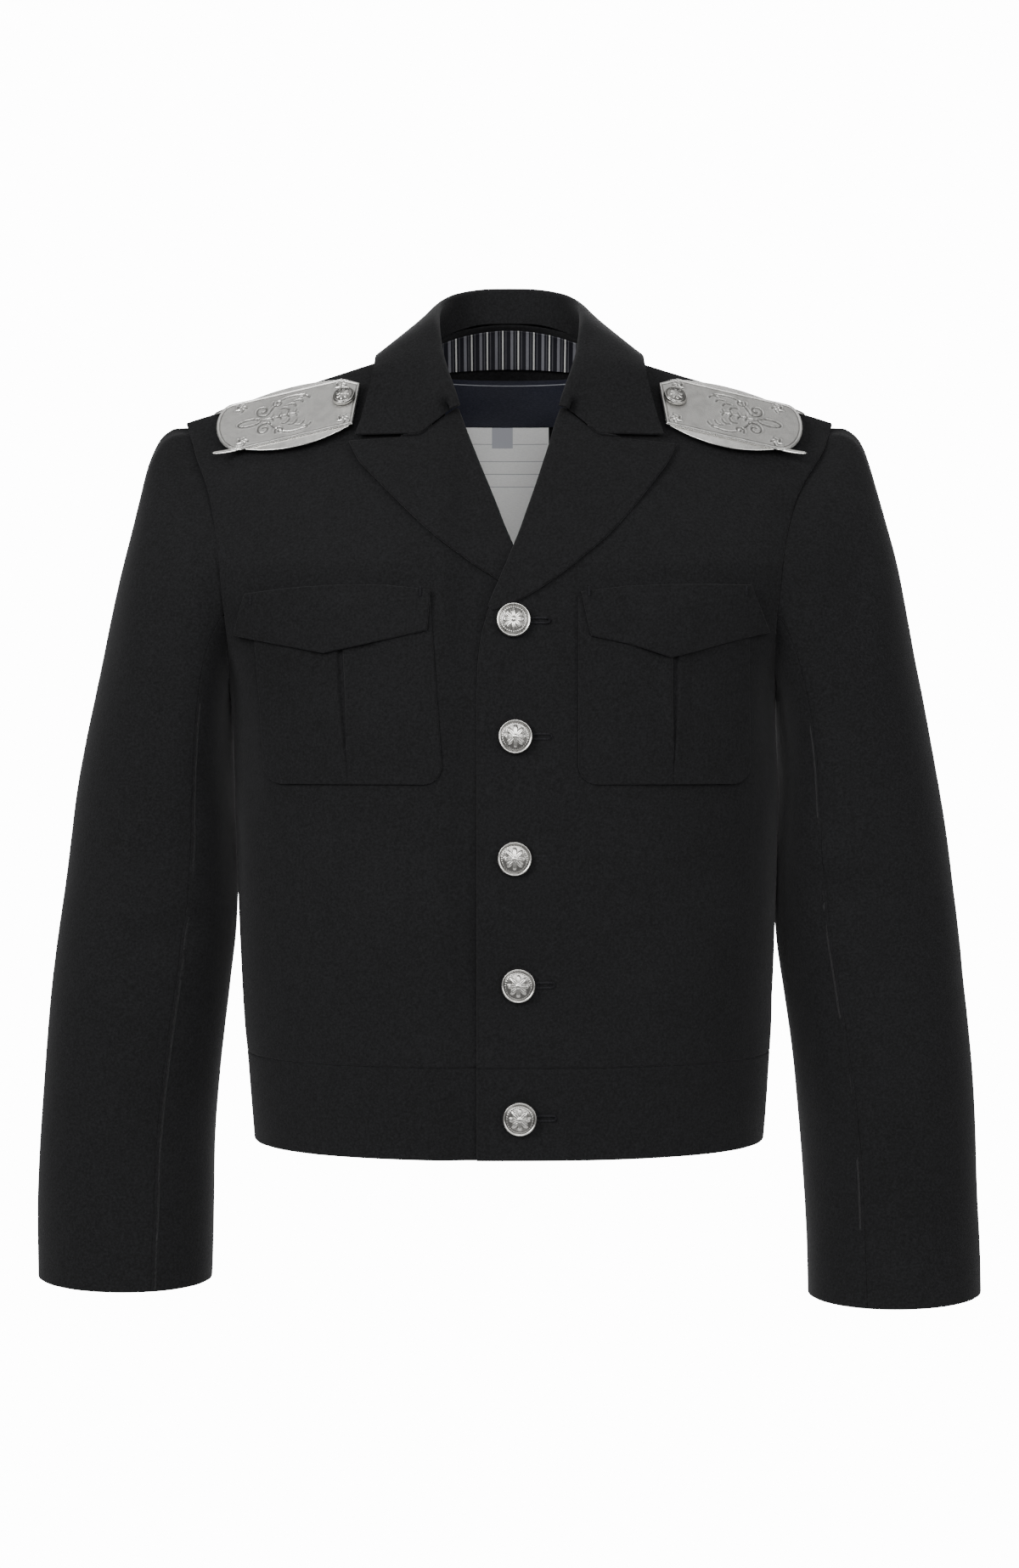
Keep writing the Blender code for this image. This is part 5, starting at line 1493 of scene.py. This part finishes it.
def button(name, node, place, normal, size, material):
    radii = 1 - (1 - np.linspace(0, 1, BUTTON_RINGS)) ** 1.15
    turns = np.linspace(0, 2 * math.pi, BUTTON_TURN_STEPS, endpoint=False)
    radius, turn = np.meshgrid(radii[1:], turns, indexing="ij")
    height, recess = button_height(radius, turn)
    low_radius, low_height = np.array(BUTTON_UNDER).T
    under_x = low_radius[:, None] * np.cos(turns)
    under_y = low_radius[:, None] * np.sin(turns)
    under_z = np.broadcast_to(low_height[:, None], under_x.shape)
    top, top_recess = button_height(np.zeros(1), np.zeros(1))
    points = np.concatenate([
        [[0.0, 0.0, top[0]]],
        np.stack([radius * np.cos(turn), radius * np.sin(turn), height], -1).reshape(-1, 3),
        np.stack([under_x, under_y, under_z], -1).reshape(-1, 3),
    ]) * size
    count = BUTTON_TURN_STEPS
    rings = len(radii) - 1 + len(low_radius)
    round_ring = [(k, (k + 1) % count) for k in range(count)]
    faces = [(0, 1 + k, 1 + after) for k, after in round_ring]
    for start in range(1, 1 + (rings - 1) * count, count):
        below = start + count
        faces += [(start + k, below + k, below + after, start + after) for k, after in round_ring]
    last = 1 + (rings - 1) * count
    faces.append(tuple(last + k for k in range(count - 1, -1, -1)))
    mesh = new_mesh(name, points, faces)
    under_recess = np.full(under_x.size, 0.5)
    paint_attribute(mesh, "recess", np.concatenate([top_recess, recess.ravel(), under_recess]))
    paint_attribute(mesh, "field", np.zeros(len(points)))
    piece = add_piece(name, mesh, material)
    piece.rotation_euler = Vector(normal).to_track_quat("Z", "Y").to_euler()
    piece.location = Vector(place)
    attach(piece, "root")
    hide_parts(node)


# ---- Epaulettes ----

PLATE_ROWS = 110
PLATE_COLUMNS = 230
BORDER = 0.0024
BORDER_RISE = 0.0007
SCROLL_LINE = 0.00060
# The plate's ornament in u and v
STEM_START = np.array([-0.0080, 0.0175])
STEM_END = np.array([0.0200, 0.0050])
STEM_LEAVES = 4
# centre, outer and inner radius, first angle, turns, handedness and strength of the scrolls
SCROLLS = (
    (np.array([0.0240, 0.0098]), 0.0066, 0.0014, 3.9, 1.25, 1, 1.0),
    (np.array([0.0125, 0.0145]), 0.0040, 0.0010, 0.6, 1.1, -1, 0.9),
)
SPRIG_U = (-0.0345, 0.0400)
SPRIG_V = 0.0180
SPRIG_REACH = 0.0042
SPRIG_LEAVES = 5
LOOP_U = 0.0345
LOOP_LENGTH = 0.0170
LOOP_WIDTH = 0.0068


def spiral(centre, start_radius, end_radius, start_turn, turns, handed):
    """A scroll's curve: an arc that winds in."""
    t = np.linspace(0, 1, 60)
    radius = start_radius + (end_radius - start_radius) * t**0.8
    angle = start_turn + handed * 2 * math.pi * turns * t
    return np.stack([centre[0] + radius * np.cos(angle), centre[1] + radius * np.sin(angle)], -1)


def bow(start, end, bend):
    """A curve between two points, bowed to one side."""
    start, end = np.array(start), np.array(end)
    t = np.linspace(0, 1, 24)
    run = end - start
    side = np.array([-run[1], run[0]])
    return start + run * t[:, None] + side * (bend * np.sin(math.pi * t))[:, None]


def from_path(u, v, path):
    """Distance of each u, v from a path of straight stretches."""
    near = np.full(np.shape(u), 1.0)
    for a, b in zip(path[:-1], path[1:]):
        step = b - a
        length = max(float(step @ step), 1e-12)
        along = np.clip(((u - a[0]) * step[0] + (v - a[1]) * step[1]) / length, 0, 1)
        near = np.minimum(near, np.hypot(u - a[0] - step[0] * along, v - a[1] - step[1] * along))
    return near


def engraved_lines():
    """The plate's engraved lines with their strengths: the halves of the ornament mirrored at v = 0."""
    lines = []
    for way in (1, -1):
        flip = np.array([1, way])
        lines.append((bow(STEM_START * flip, STEM_END * flip, way * 0.22), 1.0))
        for centre, start_radius, end_radius, start_turn, turns, handed, strength in SCROLLS:
            curl = spiral(centre * flip, start_radius, end_radius, way * start_turn, turns, way * handed)
            lines.append((curl, strength))
        for k in range(STEM_LEAVES):
            root = np.array([-0.0050 + 0.0052 * k, way * (0.0155 - 0.0026 * k)])
            tip = root - (0.0060, way * (0.0022 + 0.0004 * k))
            lines.append((bow(root, tip, -way * 0.28), 0.9))
        for centre_u in SPRIG_U:
            heart = np.array([centre_u, way * SPRIG_V])
            for k in range(SPRIG_LEAVES):
                angle = k * 2 * math.pi / SPRIG_LEAVES + 0.4
                tip = heart + SPRIG_REACH * np.array([math.cos(angle), math.sin(angle)])
                lines.append((bow(heart, tip, 0.3), 0.9))
    turns = np.linspace(0, 2 * math.pi, 22)
    loop = np.stack([LOOP_U + LOOP_LENGTH / 2 * np.cos(turns), LOOP_WIDTH / 2 * np.sin(turns)], -1)
    lines.append((loop, 1.0))
    lines.append((bow((-0.0020, 0.0), (0.0260, 0.0), 0.03), 0.9))
    for k in range(STEM_LEAVES):
        for way in (1, -1):
            root = np.array([0.0035 + 0.0058 * k, 0.0])
            lines.append((bow(root, root + (-0.0042, way * 0.0030), way * 0.25), 0.8))
    return lines


def plate_field(u, v, inset):
    """Height, recess and pebbling of the plate's face at u, v, where inset is the distance to its edge."""
    border = ease(1 - inset / BORDER)
    bead = hump(inset, 0.0011, 0.0006)
    beside = hump(inset, BORDER, 0.00035)
    height = BORDER_RISE * (0.60 * border + 0.40 * bead) - 0.00022 * beside
    height -= 0.0008 * ease(1 - inset / 0.0006)
    recess = 0.85 * beside + 0.20 * ease((inset - BORDER) / 0.0006)
    cuts = np.zeros(np.shape(u))
    for path, strength in engraved_lines():
        near = from_path(u, v, path)
        cut = hump(near, 0.0, SCROLL_LINE) * strength
        lip = hump(near, 2.0 * SCROLL_LINE, 0.8 * SCROLL_LINE) * strength
        height += -0.00042 * cut + 0.00036 * lip
        recess = np.maximum(recess * (1 - 0.9 * lip), 0.80 * cut)
        cuts = np.maximum(cuts, np.maximum(cut, lip))
    return height, np.clip(recess, 0, 1), np.clip(1 - border - cuts, 0, 1)


def plate_mesh(name, way):
    """The plate as rows from its front edge to its back edge, each from the neck end to the rounded end."""
    outline = plate_outline()
    v = PLATE_HALF_WIDTH * np.sin(np.linspace(-math.pi / 2, math.pi / 2, PLATE_ROWS))
    t = np.arccos(np.clip(v / PLATE_HALF_WIDTH, -1, 1)) / math.pi
    far = PLATE_END_FRONT + (PLATE_END_BACK - PLATE_END_FRONT) * t + PLATE_END_BULGE * np.sin(math.pi * t)
    point_u, point_v = PLATE_NECK_POINT
    corners_v = (-PLATE_HALF_WIDTH, point_v, PLATE_HALF_WIDTH)
    near = np.interp(v, corners_v, (PLATE_NECK_BACK, point_u, PLATE_NECK_FRONT))
    share = np.linspace(0, 1, PLATE_COLUMNS)
    share = share - 0.045 * np.sin(share * 2 * math.pi)
    u = near[:, None] + (far - near)[:, None] * share
    v = np.broadcast_to(v[:, None], u.shape)
    inset = from_path(u, v, np.concatenate([outline, outline[:1]]))
    height, recess, field = plate_field(u, v, inset)
    low = BASE_THICK - PLATE_SUNK
    top = np.stack([u, v * way, low + PLATE_THICK + height], -1).reshape(-1, 3)
    quads, rim = grid_faces(*u.shape)
    under = top[rim] * (1, 1, 0) + (0, 0, low)
    after = np.roll(np.arange(len(rim)), -1)
    base = u.size
    walls = np.stack([rim[after], rim, base + np.arange(len(rim)), base + after], -1)
    faces = quads.tolist() + walls.tolist() + [list(range(base, base + len(rim)))[::-1]]
    if way < 0:
        faces = [face[::-1] for face in faces]
    mesh = new_mesh(name, np.concatenate([top, under]), faces)
    zeros = np.zeros(len(rim))
    paint_attribute(mesh, "recess", np.concatenate([recess.ravel(), zeros + 0.3]))
    paint_attribute(mesh, "field", np.concatenate([field.ravel(), zeros]))
    return mesh


def rounded_solid(name, outline, low, high, bevel, material):
    """A flat outline between two heights with rounded edges."""
    count = len(outline)
    points = [(u, v, low) for u, v in outline] + [(u, v, high) for u, v in outline]
    faces = [tuple(range(count - 1, -1, -1)), tuple(range(count, 2 * count))]
    faces += [(k, (k + 1) % count, (k + 1) % count + count, k + count) for k in range(count)]
    piece = add_piece(name, new_mesh(name, points, faces), material)
    rounding = piece.modifiers.new("rounding", "BEVEL")
    rounding.width = bevel
    rounding.segments = 4
    rounding.limit_method = "ANGLE"
    rounding.harden_normals = True
    return piece


def tube(name, path, radii, up, flatness, sides, material, closed=False):
    """A rod along a path, closed at its ends, or a ring; up is the way in which its section is flatter."""
    path = np.asarray(path, float)
    tangents = (np.roll(path, -1, 0) - np.roll(path, 1, 0)) if closed else np.gradient(path, axis=0)
    turns = np.linspace(0, 2 * math.pi, sides, endpoint=False)[:, None]
    rings = []
    for point, tangent, radius in zip(path, unit(tangents), radii):
        high = unit(up - tangent * (up @ tangent))
        wide = np.cross(tangent, high)
        rings.append(point + radius * (np.cos(turns) * wide + flatness * np.sin(turns) * high))
    count = len(path)
    faces = []
    for k in range(count if closed else count - 1):
        a, b = k * sides, ((k + 1) % count) * sides
        for j in range(sides):
            after = (j + 1) % sides
            faces.append((a + j, a + after, b + after, b + j))
    if not closed:
        faces.append(tuple(range(sides - 1, -1, -1)))
        faces.append(tuple(range((count - 1) * sides, count * sides)))
    return add_piece(name, new_mesh(name, np.concatenate(rings), faces), material)


def base_sides():
    """The base's outline without its prongs, bowed at both sides."""
    shares = np.linspace(-1, 1, 41)
    corner = BASE_HALF_WIDTH - BASE_SAG
    front = [(t * BASE_REACH, corner + BASE_FRONT_BOW * (1 - t * t)) for t in shares]
    back = [(t * BASE_REACH, -corner - BASE_BACK_BOW * (1 - t * t)) for t in shares]
    return front[::-1] + back


def epaulette(side, word, silver, bright, button_silver):
    origin, axes, way = epaulette_frame(side)
    turned = Matrix(axes.T.tolist()).to_4x4()
    turned.translation = Vector(origin)
    plate = add_piece("plate_" + word, plate_mesh("plate_" + word, way), silver)
    outline = [(u, v * way) for u, v in base_sides()]
    outline = outline[::-1] if way > 0 else outline
    base = rounded_solid("plate_base_" + word, outline, 0.0, BASE_THICK, 0.0005, bright)
    pieces = [plate, base]
    corner = BASE_HALF_WIDTH - BASE_SAG
    t = np.linspace(0, 1, 26)
    round_end = np.sqrt(np.clip(1 - (2 * np.maximum(t - 0.5, 0)) ** 10, 0.02, 1))
    radii = PRONG_WIDTH / 2 * (1 - PRONG_TAPER * t) * round_end
    for v_side, end in ((1, "front"), (-1, "back")):
        u = BASE_REACH - PRONG_ROOT + (PRONG_LENGTH + PRONG_ROOT) * t
        v = v_side * way * (corner - PRONG_INSET + PRONG_SPLAY * t**1.5)
        turn = PRONG_UPTURN if v_side > 0 else -PRONG_DOWNTURN
        lift = BASE_THICK * 0.5 + turn * np.clip((t - PRONG_TURNS) / (1 - PRONG_TURNS), 0, 1) ** 2
        path = np.stack([u, v, lift], -1)
        name = "prong_%s_%s" % (end, word)
        pieces.append(tube(name, path, radii, UP, PRONG_FLATNESS, PRONG_SIDES, bright))
    for piece in pieces:
        piece.matrix_world = turned
        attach(piece, "root")
    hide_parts("epaulette_" + word)
    across = axes[0] * EPAULETTE_BUTTON_U + axes[1] * EPAULETTE_BUTTON_V * way
    foot = origin + across + axes[2] * (BASE_THICK - PLATE_SUNK + PLATE_THICK + BUTTON_GAP)
    node = "epaulette_button_" + word
    button("small_button_" + word, node, foot, axes[2], SMALL_BUTTON_RADIUS, button_silver)


# ---- Sewing ----

def sewn(name, path, radius, stitches, thread, closed=False):
    """A raised ring or bar of thread on the cloth, with its stitches as ripples in its thickness."""
    share = np.arange(len(path)) / len(path)
    radii = radius * (1 + THREAD_RIPPLE * np.cos(2 * math.pi * stitches * share))
    if not closed:
        ends = np.linspace(-1, 1, len(path))
        radii = radii * np.sqrt(np.maximum(1 - ends**8, 0.03))
    piece = tube(name, path, radii, TO_FRONT, THREAD_FLATNESS, THREAD_SIDES, thread, closed)
    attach(piece, "root")


def buttonhole(index, x, z, thread):
    """A worked buttonhole beside a button: a long ring of purl stitches round its slit."""
    turns = np.linspace(0, 2 * math.pi, 160, endpoint=False)
    half, narrow = BUTTONHOLE_LENGTH / 2, BUTTONHOLE_WIDTH / 2
    across = x + half * signed_power(np.cos(turns), 0.35)
    up = z + narrow * signed_power(np.sin(turns), 0.7)
    path = on_front(across, up, 0.0004)
    sewn("buttonhole_%d" % index, path, 0.0009, 46, thread, closed=True)


def bar_tack(name, x, z, thread):
    """A short bar of stitches at a flap's end."""
    up = np.linspace(z - 0.0038, z + 0.0032, 36)
    path = leaned(on_front(np.full_like(up, x), up, FLAP_OUT + 0.0002))
    sewn(name, path, 0.0011, 9, thread)


# ---- Room ----

def camera():
    data = bpy.data.cameras.new("camera")
    data.sensor_fit = "VERTICAL"
    data.sensor_height = SENSOR_MM
    data.lens = LENS_MM
    thing = bpy.data.objects.new("camera", data)
    thing.location = CAMERA_PLACE
    thing.rotation_euler = (math.pi / 2 + CAMERA_PITCH, 0, 0)
    bpy.context.scene.collection.objects.link(thing)
    bpy.context.scene.camera = thing


def soft_light(name, place, aim, size, power):
    data = bpy.data.lights.new(name, "AREA")
    data.shape = "RECTANGLE"
    data.size, data.size_y = size
    data.energy = power
    thing = bpy.data.objects.new(name, data)
    thing.location = place
    thing.rotation_euler = (Vector(aim) - Vector(place)).to_track_quat("-Z", "Y").to_euler()
    bpy.context.scene.collection.objects.link(thing)


def room():
    camera()
    for light in LIGHTS:
        soft_light(*light)
    world = bpy.data.worlds.new("studio")
    world.use_nodes = True
    nodes, links = world.node_tree.nodes, world.node_tree.links
    background = nodes["Background"]
    behind = nodes.new("ShaderNodeBackground")
    for node, strength in ((background, WORLD_STRENGTH), (behind, BACKGROUND_STRENGTH)):
        node.inputs["Color"].default_value = (1.0, 1.0, 1.0, 1.0)
        node.inputs["Strength"].default_value = strength
    ray = nodes.new("ShaderNodeLightPath")
    mix = nodes.new("ShaderNodeMixShader")
    links.new(ray.outputs["Is Camera Ray"], mix.inputs["Fac"])
    links.new(background.outputs["Background"], mix.inputs[1])
    links.new(behind.outputs["Background"], mix.inputs[2])
    links.new(mix.outputs["Shader"], nodes["World Output"].inputs["Surface"])
    bpy.context.scene.world = world
    material, tree, shader = new_material("floor", (0.86, 0.86, 0.86), 0.8)
    speckle = ramp(tree, noise(tree, 6.0, 3.0), ((0.3, (0.84, 0.84, 0.84)), (0.7, (0.88, 0.88, 0.88))))
    tree.links.new(speckle, shader.inputs["Base Color"])
    turns = np.linspace(0, 2 * math.pi, 96, endpoint=False)
    points = [(FLOOR_RADIUS * math.cos(turn), FLOOR_RADIUS * math.sin(turn), FLOOR_Z) for turn in turns]
    mesh = bpy.data.meshes.new("floor")
    mesh.from_pydata(points, [], [tuple(range(len(points)))])
    add_piece("floor", mesh, material)


def main():
    room()
    cloth = wool_material("black_wool", (0.0013, 0.0013, 0.0016), (0.0091, 0.0092, 0.0102), 0.88)
    lining = striped_material()
    navy = label_material("dark_label", (0.008, 0.009, 0.018), (0.020, 0.022, 0.036), DARK_LABEL_LINES)
    white = label_material("white_label", (0.84, 0.84, 0.83), (0.94, 0.94, 0.93), WHITE_LABEL_LINES)
    thread = thread_material()
    silver = silver_material("antique_silver", (0.86, 0.85, 0.82), (0.050, 0.047, 0.044), 0.27)
    button_silver = silver_material("button_silver", (0.66, 0.65, 0.62), (0.09, 0.085, 0.08), 0.24)
    bright = silver_material("bright_silver", (0.84, 0.83, 0.80), (0.22, 0.21, 0.20), 0.18)
    jacket_cloth(cloth, lining)
    jacket_labels(navy, white)
    for index, (name, x, z) in enumerate(BUTTONS, 1):
        face = on_front(np.array(x), np.array(z))
        normal = on_front(np.array(x), np.array(z), 1.0) - face
        button("silver_" + name, name, face + normal * BUTTON_GAP, normal, BUTTON_RADIUS, button_silver)
        buttonhole(index, x + BUTTONHOLE_START + BUTTONHOLE_LENGTH / 2, z, thread)
    for side, word in SIDES:
        epaulette(side, word, silver, bright, button_silver)
        for index, (x, z) in enumerate(TACKS_RIGHT if side > 0 else TACKS_LEFT, 1):
            bar_tack("tack_%s_%d" % (word, index), x * side, z, thread)


main()
